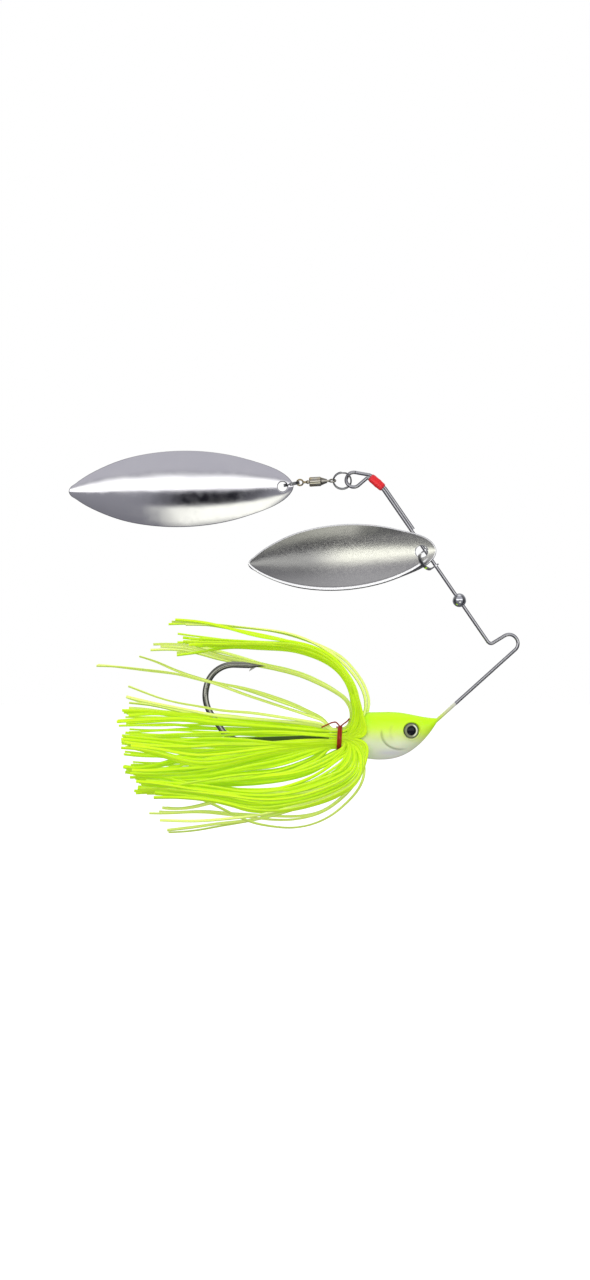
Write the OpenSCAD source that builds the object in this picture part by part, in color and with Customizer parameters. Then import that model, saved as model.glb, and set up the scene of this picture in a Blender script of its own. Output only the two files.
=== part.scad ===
// Spinnerbait: one bent wire carrying a fish-shaped lead head with hook and
// silicone skirt on its lower arm, and two willow-leaf blades on its upper arm.
// Millimetres. Origin: centre of the bend the line is tied to. +X is the
// direction the lure is pulled in, +Z is up, the hook point is above its shank.
// The wire's arms, the head and the hook are centred on the plane Y = 0.

/* [Wire form] */
// Diameter of the stainless wire
wire_d = 0.92; // [0.8:0.01:1]
// Radius of the line-tie bend, to the wire's centre
tie_bend_r = 2.3; // [2:0.1:3]
// Rise of the lower arm above horizontal, degrees
lower_arm_angle = 42; // [36:1:46]
// Length of the lower arm from the line-tie bend to the nose of the head
lower_arm_len = 27.4; // [26:0.1:30]
// Fall of the short leg behind the line-tie bend, degrees
jog_angle = 31.6; // [28:0.1:36]
// Length of the short leg behind the line-tie bend
jog_len = 4.4; // [4:0.1:5]
// Rise of the upper arm above horizontal, degrees
upper_arm_angle = 55.5; // [52:0.5:60]
// Length of the upper arm from the kink to the sleeve
upper_arm_len = 48.9; // [46:0.1:52]
// Rise of the sleeved part of the wire, degrees
sleeve_angle = 40.8; // [38:0.2:46]
// Length of the shrink sleeve
sleeve_len = 4.7; // [3.5:0.1:4.8]
// Wall of the shrink sleeve
sleeve_wall = 0.35; // [0.25:0.05:0.4]
// Radius of the end loop, to the wire's centre
loop_r = 2.0; // [1.9:0.05:2.1]
// Twist of the end loop about its own length, degrees
loop_twist = 20; // [18:1:24]
// Length of the wire's returned tail beyond the sleeve
tail_len = 12.9; // [6:0.1:13]

/* [Head] */
// Length of the fish head, nose to gill edge
head_len = 20.8; // [20:0.1:22]
// Height of the head above the nose
head_up = 2.15; // [1.9:0.05:2.4]
// Depth of the head below the nose
head_down = 10.1; // [9.8:0.1:10.6]
// Half thickness of the head
head_half_w = 4.3; // [4.2:0.1:4.8]
// Radius of the skirt collar
collar_r = 2.2; // [2:0.05:2.3]
// Diameter of the eye disc
eye_d = 4.1; // [3.8:0.1:4.3]
// Diameter of the pupil
pupil_d = 2.15; // [1.8:0.05:2.4]

/* [Hook] */
// Diameter of the hook wire
hook_d = 1.65; // [1.5:0.05:1.8]
// Height of the point above the shank
hook_gap = 19.6; // [18.5:0.1:20]
// Length of the shank behind the hook's eye, slightly bent halfway
shank_len = 41; // [40:0.5:43]

/* [Skirt] */
// Distance from the collar's root to the middle of the tie
tie_back = 4.4; // [4:0.1:5]
// Thickness of the gathered strands under the tie
gather_t = 0.6; // [0.5:0.05:0.7]
// Length of the trailing strands behind the tie
skirt_len = 56; // [40:1:58]
// Radius of the trailing bundle at its end
skirt_end_r = 12; // [9:0.5:13]
// Radius of the folded-back strands at their widest
skirt_bell_r = 27; // [22:0.5:28]
// Thickness of the layer of strands
strand_layer = 1.1; // [0.8:0.1:1.4]

/* [Blades] */
// Length of the rear blade
rear_len = 58.5; // [54:0.5:60]
// Width of the rear blade
rear_w = 19.8; // [18:0.2:20.4]
// Hole in the rear blade
rear_hole_d = 2.5; // [2.4:0.1:2.8]
// Length of the front blade
front_len = 49; // [45:0.5:50]
// Width of the front blade
front_w = 17.2; // [16:0.2:17.8]
// Hole in the front blade
front_hole_d = 3.1; // [3:0.05:3.3]
// Roll of the front blade about its length, its lower edge towards -Y, degrees
front_roll = 5; // [0:1:5]
// Thickness of both blades
blade_t = 0.55; // [0.45:0.05:0.6]
// Fullness of the leaf outline, lower is fuller at the ends
leaf_power = 0.7; // [0.62:0.02:0.8]

/* [Swivel and split rings] */
// Mean radius of the split ring on the wire loop
loop_ring_r = 2.3; // [2.25:0.05:2.4]
// Wire of the split ring on the wire loop
loop_ring_wire = 0.45; // [0.4:0.01:0.46]
// Mean radius of the split ring on the rear blade
blade_ring_r = 2.0; // [1.95:0.05:2.1]
// Wire of the split ring on the rear blade
blade_ring_wire = 0.4; // [0.35:0.01:0.42]
// Diameter of the swivel barrel
barrel_d = 2.5; // [2.4:0.05:2.7]
// Mean radius of the swivel eyes
swivel_eye_r = 0.82; // [0.8:0.01:0.84]
// Wire of the swivel eyes
swivel_eye_wire = 0.44; // [0.4:0.01:0.45]
// Number of bearing balls in the swivel
ball_count = 8; // [5:1:8]

/* [Clevis and bead] */
// Distance between the clevis's two ears
clevis_span = 4.9; // [4.7:0.1:5.2]
// Depth of the clevis from the wire to the bow
clevis_depth = 4.2; // [4:0.1:4.5]
// Width of the clevis's band
clevis_band = 0.8; // [0.7:0.05:0.85]
// Thickness of the clevis's band
clevis_t = 0.42; // [0.35:0.01:0.45]
// Turn of the clevis about the wire, degrees
clevis_turn = 52; // [50:1:55]
// Distance from the kink to the clevis's lower ear
clevis_at = 24.9; // [24:0.1:25]
// Diameter of the bead
bead_d = 3.6; // [3.2:0.1:3.8]
// Distance from the kink to the bead's centre
bead_at = 14.05; // [4:0.05:20]

/* [Hidden] */
$fn = 48;

// ---- vectors, frames and round stock ----------------------------------------
function unit(v) = v / norm(v);
function clamp01(v) = max(0, min(1, v));
// direction in the plane Y = 0, angle measured from +X up towards +Z
function dir(angle) = [cos(angle), 0, sin(angle)];
// any unit vector square to the given axis
function square_to(axis) =
    unit(cross(axis, abs(axis.z) < 0.9 ? [0, 0, 1] : [1, 0, 0]));

// children drawn in a right-handed frame with unit axes
module at(origin, x_axis, z_axis) {
    y_axis = cross(z_axis, x_axis);
    rows = [for (k = [0 : 2]) [x_axis[k], y_axis[k], z_axis[k], origin[k]]];
    multmatrix(concat(rows, [[0, 0, 0, 1]])) children();
}

module rod(from, to, d) {
    axis = unit(to - from);
    at(from, square_to(axis), axis) cylinder(d = d, h = norm(to - from));
}

// closed ring of round wire about z
module ring(r, wire) rotate_extrude() translate([r, 0]) circle(d = wire);

// ---- round wire through corners [point, bend radius] -------------------------
weld_swell = 0.025; // extra diameter where straights meet bends, keeps a run one solid
function leg(corners, i) = unit(corners[i + 1][0] - corners[i][0]);
function bend_angle(corners, i) =
    acos(max(-1, min(1, leg(corners, i - 1) * leg(corners, i))));
// length a bend takes from each leg at its corner
function setback(corners, i) = (i == 0 || i == len(corners) - 1)
    ? 0 : corners[i][1] * tan(bend_angle(corners, i) / 2);

module wire_run(corners, d) {
    for (i = [0 : len(corners) - 2])
        rod(corners[i][0] + setback(corners, i) * leg(corners, i),
            corners[i + 1][0] - setback(corners, i + 1) * leg(corners, i), d);
    for (i = [1 : len(corners) - 2]) {
        point = corners[i][0];
        bend_r = corners[i][1];
        cut = setback(corners, i);
        before = leg(corners, i - 1);
        after = leg(corners, i);
        inward = unit(after - (before * after) * before);
        at(point - cut * before + bend_r * inward, -inward, cross(before, inward))
            rotate_extrude(angle = bend_angle(corners, i))
                translate([bend_r, 0]) circle(d = d);
        for (away = [-before, after])
            translate(point + cut * away) sphere(d = d + weld_swell);
    }
}

// ---- wire form --------------------------------------------------------------
arm_dir = dir(lower_arm_angle);
up_dir = dir(180 - upper_arm_angle);
sleeve_dir = dir(180 - sleeve_angle);

// the line-tie bend is two equal bends round the origin
half_turn = (180 + jog_angle - lower_arm_angle) / 4;
function tie_corner(turns) = tie_bend_r / cos(half_turn)
    * dir(lower_arm_angle - 90 + turns * half_turn);
tie_inner_r = tie_bend_r - 0.08; // a little under, leaving a short straight between

nose = tie_bend_r * dir(lower_arm_angle - 90) - lower_arm_len * arm_dir;
kink = tie_bend_r * dir(90 + jog_angle) + jog_len * dir(180 + jog_angle);
// point on the upper arm at a distance from the kink
function on_upper_arm(distance) = kink + distance * up_dir;
sleeve_foot = on_upper_arm(upper_arm_len);
neck = sleeve_foot + (sleeve_len + 0.45) * sleeve_dir;

// offset of the returned strand: in front of and above the main wire, and to +Y
strand_gap = wire_d + 0.03;
strand_turn = 50;
function beside(along) = strand_gap
    * (cos(strand_turn) * unit([along.z, 0, -along.x]) + sin(strand_turn) * [0, 1, 0]);
sleeve_side = beside(sleeve_dir);
arm_side = beside(up_dir);

loop_fall = 14; // below horizontal, rearwards
loop_reach = 4.08; // from between the strands to the loop's centre
loop_axis = dir(180 + loop_fall);
loop_up = cos(loop_twist) * dir(90 + loop_fall) + sin(loop_twist) * [0, 1, 0];
loop_c = neck + sleeve_side / 2 + loop_reach * loop_axis;
loop_step = 78; // turn at each of the loop's three corners
loop_inner_r = loop_r - 0.15;
function loop_corner(angle) = loop_c
    + loop_r / cos(loop_step / 2) * (cos(angle) * loop_axis + sin(angle) * loop_up);

// the hook's eye is on the shank line, inside the head
shank_z = nose.z - 4.7;
hook_eye = [nose.x - 10.7, 0, shank_z];
hook_eye_r = 1.95;

neck_bend_r = 0.8;
sleeve_bend_r = 3;
wire_corners = [
    // through the hook's eye and forward inside the head
    [hook_eye + [0, -1.7, 0], 0],
    [hook_eye + [0, 1.75, 0], 0.8],
    [hook_eye + [3.4, 1.75, 0.5], 1.5],
    [nose - 2.6 * arm_dir, 2],
    // line tie, kink and upper arm
    [tie_corner(1), tie_inner_r],
    [tie_corner(3), tie_inner_r],
    [kink, 1],
    [sleeve_foot, sleeve_bend_r],
    // end loop
    [neck, neck_bend_r],
    [loop_corner(-loop_step), loop_inner_r],
    [loop_corner(0), loop_inner_r],
    [loop_corner(loop_step), loop_inner_r],
    // returned strand
    [neck + sleeve_side, neck_bend_r],
    [sleeve_foot + (sleeve_side + arm_side) / 2, sleeve_bend_r],
    [on_upper_arm(upper_arm_len - tail_len) + arm_side, 0]];

module wire_form() color([0.72, 0.72, 0.74]) wire_run(wire_corners, wire_d);

// red tube shrunk over both strands just before the loop
sleeve_start = 0.42; // clear of the bend at the sleeve's foot
module wire_sleeve() color([0.85, 0.08, 0.1]) difference() {
    low = sleeve_foot + sleeve_start * sleeve_dir;
    high = sleeve_foot + sleeve_len * sleeve_dir;
    outer_d = wire_d + 2 * sleeve_wall;
    web_inset = 0.06;
    union() {
        for (side = [[0, 0, 0], sleeve_side]) rod(low + side, high + side, outer_d);
        at(low + sleeve_side / 2, unit(sleeve_side), sleeve_dir)
            translate([-strand_gap / 2, -outer_d / 2 + web_inset, 0])
                cube([strand_gap, outer_d - 2 * web_inset, norm(high - low)]);
    }
    for (side = [[0, 0, 0], sleeve_side])
        rod(low + side - sleeve_dir, high + side + sleeve_dir, wire_d + 0.02);
}

// ---- lead head --------------------------------------------------------------
// "along" runs from the nose (0) to the gill edge (1); heights are from the nose
crown_full = 0.62; // where the crown reaches its height
belly_full = 0.75; // where the belly is deepest
belly_lift_from = 0.72;
belly_lift = 0.9; // rise of the belly at the gill edge
flank_full = 0.72; // where the head is thickest
gill_from = 0.86; // where the section starts to close in
gill_close = 0.62;
nose_blunt = 0.62; // radius of the nose
section_power = 0.92; // 1 is an ellipse, lower is squarer
function crown(along) = head_up * pow(sin(90 * clamp01(along / crown_full)), 1.6);
function belly(along) = -head_down * (1 - pow(1 - clamp01(along / belly_full), 2.5))
    + belly_lift * pow(clamp01((along - belly_lift_from) / (1 - belly_lift_from)), 2);
function flank(along) = head_half_w * (1 - pow(1 - clamp01(along / flank_full), 2.2));
function closing(along) = along < gill_from
    ? 1 : sqrt(1 - gill_close * pow((along - gill_from) / (1 - gill_from), 2));
function nose_r(along) = nose_blunt * pow(1 - along, 2);
function squarer(v) = sign(v) * pow(abs(v), section_power);

head_rings = 26;
head_sides = 32;
function head_ring(along) = let (
        top = crown(along) + nose_r(along),
        low = belly(along) - nose_r(along),
        half_h = (top - low) / 2 * closing(along),
        half_w = (flank(along) + nose_r(along)) * closing(along))
    [for (k = [0 : head_sides - 1]) let (angle = 360 * k / head_sides)
        [nose.x - head_len * along,
         half_w * squarer(cos(angle)),
         nose.z + (top + low) / 2 + half_h * squarer(sin(angle))]];
// the power sets the rings closer together at the nose
head_pts = [for (i = [0 : head_rings - 1]) each head_ring(pow(i / (head_rings - 1), 1.5))];
head_faces = concat(
    [[for (k = [head_sides - 1 : -1 : 0]) k]],
    [for (i = [0 : head_rings - 2], k = [0 : head_sides - 1])
        let (this = i * head_sides + k, next = i * head_sides + (k + 1) % head_sides)
            [this, next, next + head_sides, this + head_sides]],
    [[for (k = [0 : head_sides - 1]) (head_rings - 1) * head_sides + k]]);

collar_root = nose.x - head_len;
collar_embed = 1; // inside the head
collar_len = 8.2;
collar_start = collar_root + collar_embed;
lip_len = 0.6; // tapered lip at the collar's rear end
lip_h = 0.35;

eye_at = [nose.x - 6.7, head_half_w * 0.67, nose.z - 2.57];
eye_yaw = 17;
eye_t = 0.36;

// side is 1 for left (+Y), -1 for right; z points out of the head
module beside_head(side) translate([eye_at.x, side * eye_at.y, eye_at.z])
    rotate([-90 * side, 0, 0]) rotate([0, eye_yaw, 0]) children();

module lead_head() color([0.87, 0.98, 0.42]) difference() {
    union() {
        polyhedron(head_pts, head_faces, convexity = 4);
        translate([collar_start, 0, shank_z]) rotate([0, -90, 0])
            cylinder(r = collar_r, h = collar_len);
        translate([collar_start - collar_len + lip_len, 0, shank_z]) rotate([0, -90, 0])
            cylinder(r1 = collar_r + lip_h, r2 = collar_r, h = lip_len);
    }
    wire_form();
    hook();
    for (side = [-1, 1]) beside_head(side) cylinder(d = eye_d + 0.06, h = 3);
}

module eye(side) color([0.62, 0.64, 0.52])
    beside_head(side) translate([0, 0, 0.01]) cylinder(d = eye_d, h = eye_t);
module eye_left() eye(1);
module eye_right() eye(-1);

// domed button, the cap of a sphere centred below the eye's face
pupil_drop = 2.1;
module pupil(side) color([0.05, 0.05, 0.06])
    beside_head(side) translate([0, 0, eye_t + 0.02]) intersection() {
        translate([0, 0, -pupil_drop])
            sphere(r = sqrt(pupil_drop * pupil_drop + pupil_d * pupil_d / 4));
        cylinder(d = 2 * pupil_d, h = 2);
    }
module pupil_left() pupil(1);
module pupil_right() pupil(-1);

// ---- hook -------------------------------------------------------------------
point_end = [nose.x - 43.4, 0, shank_z + hook_gap - 0.6];
point_dir = unit([1, 0, -0.02]);
point_len = 5.6;
barb_back = 3.5; // from the point's end
barb_t = 0.44;
bend_back = hook_eye.x - 50.4; // x near the rear of the hook's bend
hook_corners = [
    [hook_eye - [hook_eye_r, 0, 0], 0],
    [hook_eye + [-shank_len / 2, 0, 0.05], 60],
    [[bend_back + 7.3, 0, shank_z - 0.7], 6.5],
    [[bend_back + 0.4, 0, shank_z + 9.4], 9],
    [point_end - 15.2 * point_dir + [0, 0, 0.1], 7.2],
    [point_end - (point_len - 0.1) * point_dir, 0]];

module hook() color([0.2, 0.2, 0.21]) {
    at(hook_eye, [1, 0, 0], [0, -1, 0]) ring(hook_eye_r, hook_d * 0.93);
    wire_run(hook_corners, hook_d);
    // ground point
    at(point_end - point_len * point_dir, [0, 1, 0], point_dir)
        cylinder(d1 = hook_d + 0.04, d2 = 0.12, h = point_len);
    // barb on the shank side
    at(point_end - barb_back * point_dir, point_dir, cross(point_dir, [0, 1, 0]))
        translate([0, barb_t / 2, 0]) rotate([90, 0, 0]) linear_extrude(barb_t)
            polygon([[0.5, -0.2], [-1.9, -1.7], [-1.2, -0.3]]);
}

// ---- skirt ------------------------------------------------------------------
// profiles are [radius, distance behind the tie]
tie_x = collar_root - tie_back;
gather_r = collar_r + 0.05;
gather_out = gather_r + gather_t;
module along_skirt() translate([tie_x, 0, shank_z]) rotate([0, -90, 0]) children();

// trailing strands, widening to the rear
function drape(x) =
    gather_r + (skirt_end_r - gather_r) * pow(clamp01(x / skirt_len), 0.8);
drape_x = [for (x = [4 : 6.5 : skirt_len]) x];
slot_w = 3.2; // the strands part round the bend of the hook

module skirt_inner() color([0.78, 0.97, 0.1]) difference() {
    along_skirt() rotate_extrude() polygon(concat(
        [[gather_r, 0.1], [gather_out, 0.1], [gather_out, 1]],
        [for (x = drape_x) [drape(x) + strand_layer, x]],
        [for (i = [len(drape_x) - 1 : -1 : 0]) [drape(drape_x[i]), drape_x[i]]],
        [[gather_r, 1.4]]));
    translate([bend_back - 8, -slot_w / 2, shank_z]) cube([26, slot_w, 30]);
    translate([bend_back - 3, -slot_w / 2, shank_z - 4]) cube([12, slot_w, 8]);
}

// folded strands: forward out of the tie, round in an arch, then back as a bell
bell_n = 12;
bell_root_r = gather_r + 1.4;
bell_root_x = -3.9;
arch_reach = 3.3; // how far the arch bulges forward
arch_end = 0.45; // part of the profile taken by the arch
sweep_from = 0.22; // part of the profile where the backward sweep starts
sweep_len = 42;
// depth is 0 on the outer face, 1 on the inner face
function bell(i, depth) = let (
        part = i / bell_n,
        x = bell_root_x - arch_reach * sin(180 * min(1, part / arch_end))
            + sweep_len * pow(max(0, part - sweep_from) / (1 - sweep_from), 1.8),
        r = bell_root_r + (skirt_bell_r - bell_root_r) * sin(90 * pow(part, 0.85)))
    [r - depth * (0.35 + 0.65 * part) * strand_layer,
     x + depth * (1 - part) * strand_layer];

module skirt_outer() color([0.84, 1, 0.16])
    along_skirt() rotate_extrude() polygon(concat(
        [[gather_r, -0.1], [gather_r, -1.3]],
        [for (i = [0 : bell_n]) bell(i, 0)],
        [for (i = [bell_n : -1 : 0]) bell(i, 1)],
        [[gather_out, -0.75], [gather_out, -0.1]]));

// three turns of wire round the gathered strands, with two cut tails on top
tie_wire = 0.44;
tie_r = gather_out + tie_wire / 2 + 0.02;
// corner offsets from the top of the tie; the middle one is bent
tie_tails = [
    [[-0.2, 0, 0], [-1.2, -0.1, 1], [-4.2, -0.5, 2.3]],
    [[0.2, 0, 0], [0.9, -0.3, 0.6], [1.9, -0.9, 1.6]]];

module skirt_tie() color([0.6, 0.08, 0.05]) {
    for (i = [-1 : 1])
        translate([tie_x + i * tie_wire * 0.95, 0, shank_z]) rotate([0, 90, 0])
            ring(tie_r, tie_wire);
    top = [tie_x, 0, shank_z + tie_r + tie_wire / 2];
    for (tail = tie_tails)
        wire_run([[top + tail[0], 0], [top + tail[1], 0.5], [top + tail[2], 0]],
                 tie_wire * 0.8);
}

// ---- willow-leaf blades -----------------------------------------------------
// pointed outline centred on the origin, its length along x
leaf_n = 30;
module leaf(length, width) polygon([for (i = [0 : 2 * leaf_n - 1])
    let (s = cos(180 * i / leaf_n), side = i <= leaf_n ? 1 : -1)
        [length * s / 2, side * width / 2 * pow(max(0, 1 - s * s), leaf_power)]]);

function arc_r(chord, rise) = (chord * chord / 4 + rise * rise) / (2 * rise);

// dished leaf: runs from its hole, at the origin, towards -x, with z across it;
// it bulges to +y by the same rise along and across; its ends lie on one line along x
blade_sweep = 28; // degrees of arc the leaf is cut from
module blade(length, width, rise, hole_d, hole_inset) {
    across_r = arc_r(width, rise);
    along_r = arc_r(length, rise);
    hole_x = length / 2 - hole_inset;
    translate([-hole_x, -sqrt(along_r * along_r - hole_x * hole_x), 0])
    difference() {
        intersection() {
            rotate([0, 0, 90 - blade_sweep / 2]) rotate_extrude(angle = blade_sweep)
            difference() {
                translate([along_r - across_r, 0]) intersection() {
                    circle(r = across_r + blade_t / 2, $fn = 180);
                    translate([across_r - 6, -width]) square([8, 2 * width]);
                }
                translate([along_r - across_r, 0])
                    circle(r = across_r - blade_t / 2, $fn = 180);
            }
            translate([0, along_r + 4, 0]) rotate([90, 0, 0])
                linear_extrude(12) leaf(length, width);
        }
        translate([hole_x, along_r + 5, 0]) rotate([90, 0, 0])
            cylinder(d = hole_d, h = 12);
    }
}

// ---- chain of rings, swivel and rear blade ----------------------------------
// two turns of wire lying against each other
module split_ring(r, wire)
    for (side = [-1, 1]) translate([0, 0, side * wire * 0.47]) ring(r, wire);

chain_roll = 25; // roll of the loop ring and swivel about X
loop_ring_c = loop_c + [-3.05, 0, -0.25];
module loop_ring() color([0.55, 0.56, 0.58])
    at(loop_ring_c, [1, 0, 0], [0, cos(chain_roll), sin(chain_roll)])
        split_ring(loop_ring_r, loop_ring_wire);

// swivel frame: origin at the front eye, x towards the rear eye, z along the front eye's axis
swivel_c = loop_ring_c - [loop_ring_r + 0.25, 0, 0];
swivel_x = dir(180 + 3.2);
rolled_z = [0, -sin(chain_roll), cos(chain_roll)];
swivel_z = unit(rolled_z - (rolled_z * swivel_x) * swivel_x);
module swivel_frame() at(swivel_c, swivel_x, swivel_z) children();
// solid of revolution along the swivel: points are [distance, radius]
module turned(profile) rotate([0, 90, 0]) rotate([0, 0, 90])
    rotate_extrude() polygon([for (p = profile) [p.y, p.x]]);

stem_r = 0.3;
front_bore_r = stem_r + 0.01;
rear_bore_r = stem_r + 0.04;
barrel_r = barrel_d / 2;
rear_eye_x = 8.45;
rear_stem_end = rear_eye_x - swivel_eye_r;

module swivel_front_eye() color([0.7, 0.66, 0.55]) swivel_frame() {
    ring(swivel_eye_r, swivel_eye_wire);
    turned([[swivel_eye_r, 0], [swivel_eye_r, stem_r], [3.1, stem_r],
            [3.1, 0.5], [3.4, 0.5], [3.4, 0]]);
}

// hollow barrel: outside from front to rear, then the bore back to the front
module swivel_barrel() color([0.74, 0.7, 0.6]) swivel_frame() turned([
    [1.4, front_bore_r], [1.4, 0.5], [2.85, barrel_r - 0.22], [3.0, barrel_r - 0.1],
    [3.15, barrel_r], [5.85, barrel_r], [6.05, barrel_r - 0.2],
    [6.05, rear_bore_r], [5.72, rear_bore_r], [5.72, 0.95], [3.42, 0.95],
    [3.42, 0.51], [3.08, 0.51], [3.08, front_bore_r]]);

// stands across the front eye
module swivel_rear_eye() color([0.78, 0.7, 0.5]) swivel_frame() {
    translate([rear_eye_x, 0, 0]) rotate([90, 0, 0]) ring(swivel_eye_r, swivel_eye_wire);
    turned([[4.55, 0], [4.55, 0.85], [5.22, 0.85], [5.22, stem_r], [6.15, stem_r],
            [6.15, 0.5], [6.55, 0.5], [6.9, stem_r],
            [rear_stem_end, stem_r], [rear_stem_end, 0]]);
}

ball_r = 0.2;
ball_track = [5.47, 0, 0.62];
module swivel_balls() color([0.8, 0.8, 0.82]) swivel_frame()
    for (k = [0 : ball_count - 1])
        rotate([360 * k / ball_count, 0, 0]) translate(ball_track) sphere(r = ball_r);

// the blade ring lies nearly level, falling to the rear
blade_ring_fall = 11;
blade_ring_x = dir(180 + blade_ring_fall);
blade_ring_c = swivel_c + rear_eye_x * swivel_x - [0.2, 0, 0] + blade_ring_r * blade_ring_x;
module blade_ring() color([0.6, 0.6, 0.62])
    at(blade_ring_c, blade_ring_x, dir(90 + blade_ring_fall))
        split_ring(blade_ring_r, blade_ring_wire);

rear_hole = blade_ring_c + blade_ring_r * blade_ring_x - [0.45, 0, 0.3];
rear_pitch = 1.3;
module rear_blade() color([0.82, 0.82, 0.86])
    translate(rear_hole) rotate([0, -rear_pitch, 0]) mirror([0, 1, 0])
        blade(rear_len, rear_w, rise = 2.4, hole_d = rear_hole_d, hole_inset = 2.9);

// ---- clevis, front blade, bead ----------------------------------------------
// frame on the upper arm: z along the wire, x towards the clevis's bow
clevis_x = cos(clevis_turn) * [-up_dir.z, 0, up_dir.x] - sin(clevis_turn) * [0, 1, 0];
module on_wire(distance) at(on_upper_arm(distance), clevis_x, up_dir) children();

ear_r = 0.95;
bow_r = 2.1; // outer radius of the bow's two corners
bow_x = clevis_depth - bow_r;
module clevis() color([0.9, 0.9, 0.92]) on_wire(clevis_at) {
    // ears and arms
    for (z = [0, clevis_span]) translate([0, 0, z]) difference() {
        union() {
            cylinder(r = ear_r, h = clevis_t, center = true);
            translate([0, -clevis_band / 2, -clevis_t / 2])
                cube([bow_x, clevis_band, clevis_t]);
        }
        cylinder(d = wire_d + 0.14, h = 2 * clevis_t, center = true);
    }
    // rounded corners: [height, start angle]
    for (corner = [[bow_r, -90], [clevis_span - bow_r, 0]])
        translate([bow_x, 0, corner[0]]) rotate([90, 0, 0]) rotate([0, 0, corner[1]])
            rotate_extrude(angle = 90)
                translate([bow_r - clevis_t / 2, -clevis_band / 2])
                    square([clevis_t, clevis_band]);
    translate([clevis_depth - clevis_t / 2, -clevis_band / 2, bow_r])
        cube([clevis_t, clevis_band, clevis_span - 2 * bow_r]);
}

front_hole = on_upper_arm(clevis_at + clevis_span) - [0.9, 1.35, 0.35];
front_pitch = 4.3;
module front_blade() color([0.7, 0.7, 0.7])
    translate(front_hole) rotate([-front_roll, 0, 0]) rotate([0, -front_pitch, 0])
        blade(front_len, front_w, rise = 2, hole_d = front_hole_d, hole_inset = 3.8);

// ball with small flats at its ends, bored for the wire
module bead() color([0.8, 0.8, 0.82]) on_wire(bead_at) difference() {
    intersection() {
        sphere(d = bead_d);
        cylinder(d = 2 * bead_d, h = bead_d - 0.16, center = true);
    }
    cylinder(d = wire_d + 0.12, h = 2 * bead_d, center = true);
}

wire_form();
wire_sleeve();
lead_head();
hook();
eye_left();
eye_right();
pupil_left();
pupil_right();
skirt_inner();
skirt_outer();
skirt_tie();
rear_blade();
front_blade();
loop_ring();
blade_ring();
swivel_barrel();
swivel_front_eye();
swivel_rear_eye();
swivel_balls();
clevis();
bead();
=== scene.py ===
"""A spinnerbait: a bent wire with a painted lead head, a hook in a rubber skirt and two
willow-leaf blades on split rings.

Lengths are in mm until a mesh is made. The nose points to +x, the hook trails to -x, +z is up
and +y is the lure's left. The blades hang from the wire above the skirt.
"""
import math

import bpy
import numpy as np
from mathutils import Matrix, Vector
from mathutils.geometry import delaunay_2d_cdt


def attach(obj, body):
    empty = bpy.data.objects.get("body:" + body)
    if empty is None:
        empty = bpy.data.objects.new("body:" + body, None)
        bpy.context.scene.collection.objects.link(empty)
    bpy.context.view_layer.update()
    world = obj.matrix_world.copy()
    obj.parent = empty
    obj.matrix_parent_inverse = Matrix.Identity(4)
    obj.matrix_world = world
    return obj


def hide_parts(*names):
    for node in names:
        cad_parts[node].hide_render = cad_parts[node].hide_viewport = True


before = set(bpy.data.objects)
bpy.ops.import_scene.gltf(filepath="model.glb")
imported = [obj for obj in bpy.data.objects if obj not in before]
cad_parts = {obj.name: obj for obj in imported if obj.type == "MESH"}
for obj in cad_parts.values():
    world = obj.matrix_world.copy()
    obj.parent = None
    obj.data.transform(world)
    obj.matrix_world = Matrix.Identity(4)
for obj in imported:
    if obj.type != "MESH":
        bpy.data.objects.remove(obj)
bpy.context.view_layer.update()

rng = np.random.default_rng(41)
MM = 0.001

# ---------------------------------------------------------------- shared places, mm
NOSE = np.array([-18.823, 0, -20.043])
SHANK_Z = -24.743
COLLAR_ROOT = -39.623  # x where the collar leaves the head
COLLAR_R = 2.2
# direction of the lower arm of the wire, up and forward from the nose
ARM_DIR = np.array([math.cos(math.radians(42)), 0, math.sin(math.radians(42))])
REAR_HOLE = np.array([-58.921, 0.364, 40.778])
FRONT_HOLE = np.array([-22.732, -1.35, 23.862])
FRONT_LENGTH = 49
FRONT_WIDTH = 17.2
FRONT_INSET = 3.8  # hole middle from the blade's end
FRONT_TILT = -4.3  # degrees


# ---------------------------------------------------------------- arithmetic
def unit(vector):
    return np.asarray(vector, float) / np.linalg.norm(vector)


def smooth01(x):
    x = np.clip(x, 0, 1)
    return x * x * (3 - 2 * x)


def bell(x, width):
    return np.exp(-((x / width) ** 2))


def signed_power(x, power):
    return np.sign(x) * np.abs(x) ** power


def oval_norm(x, y, power):
    """1 on a superellipse of unit half axes, less inside it."""
    return (np.abs(x) ** power + np.abs(y) ** power) ** (1 / power)


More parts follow.
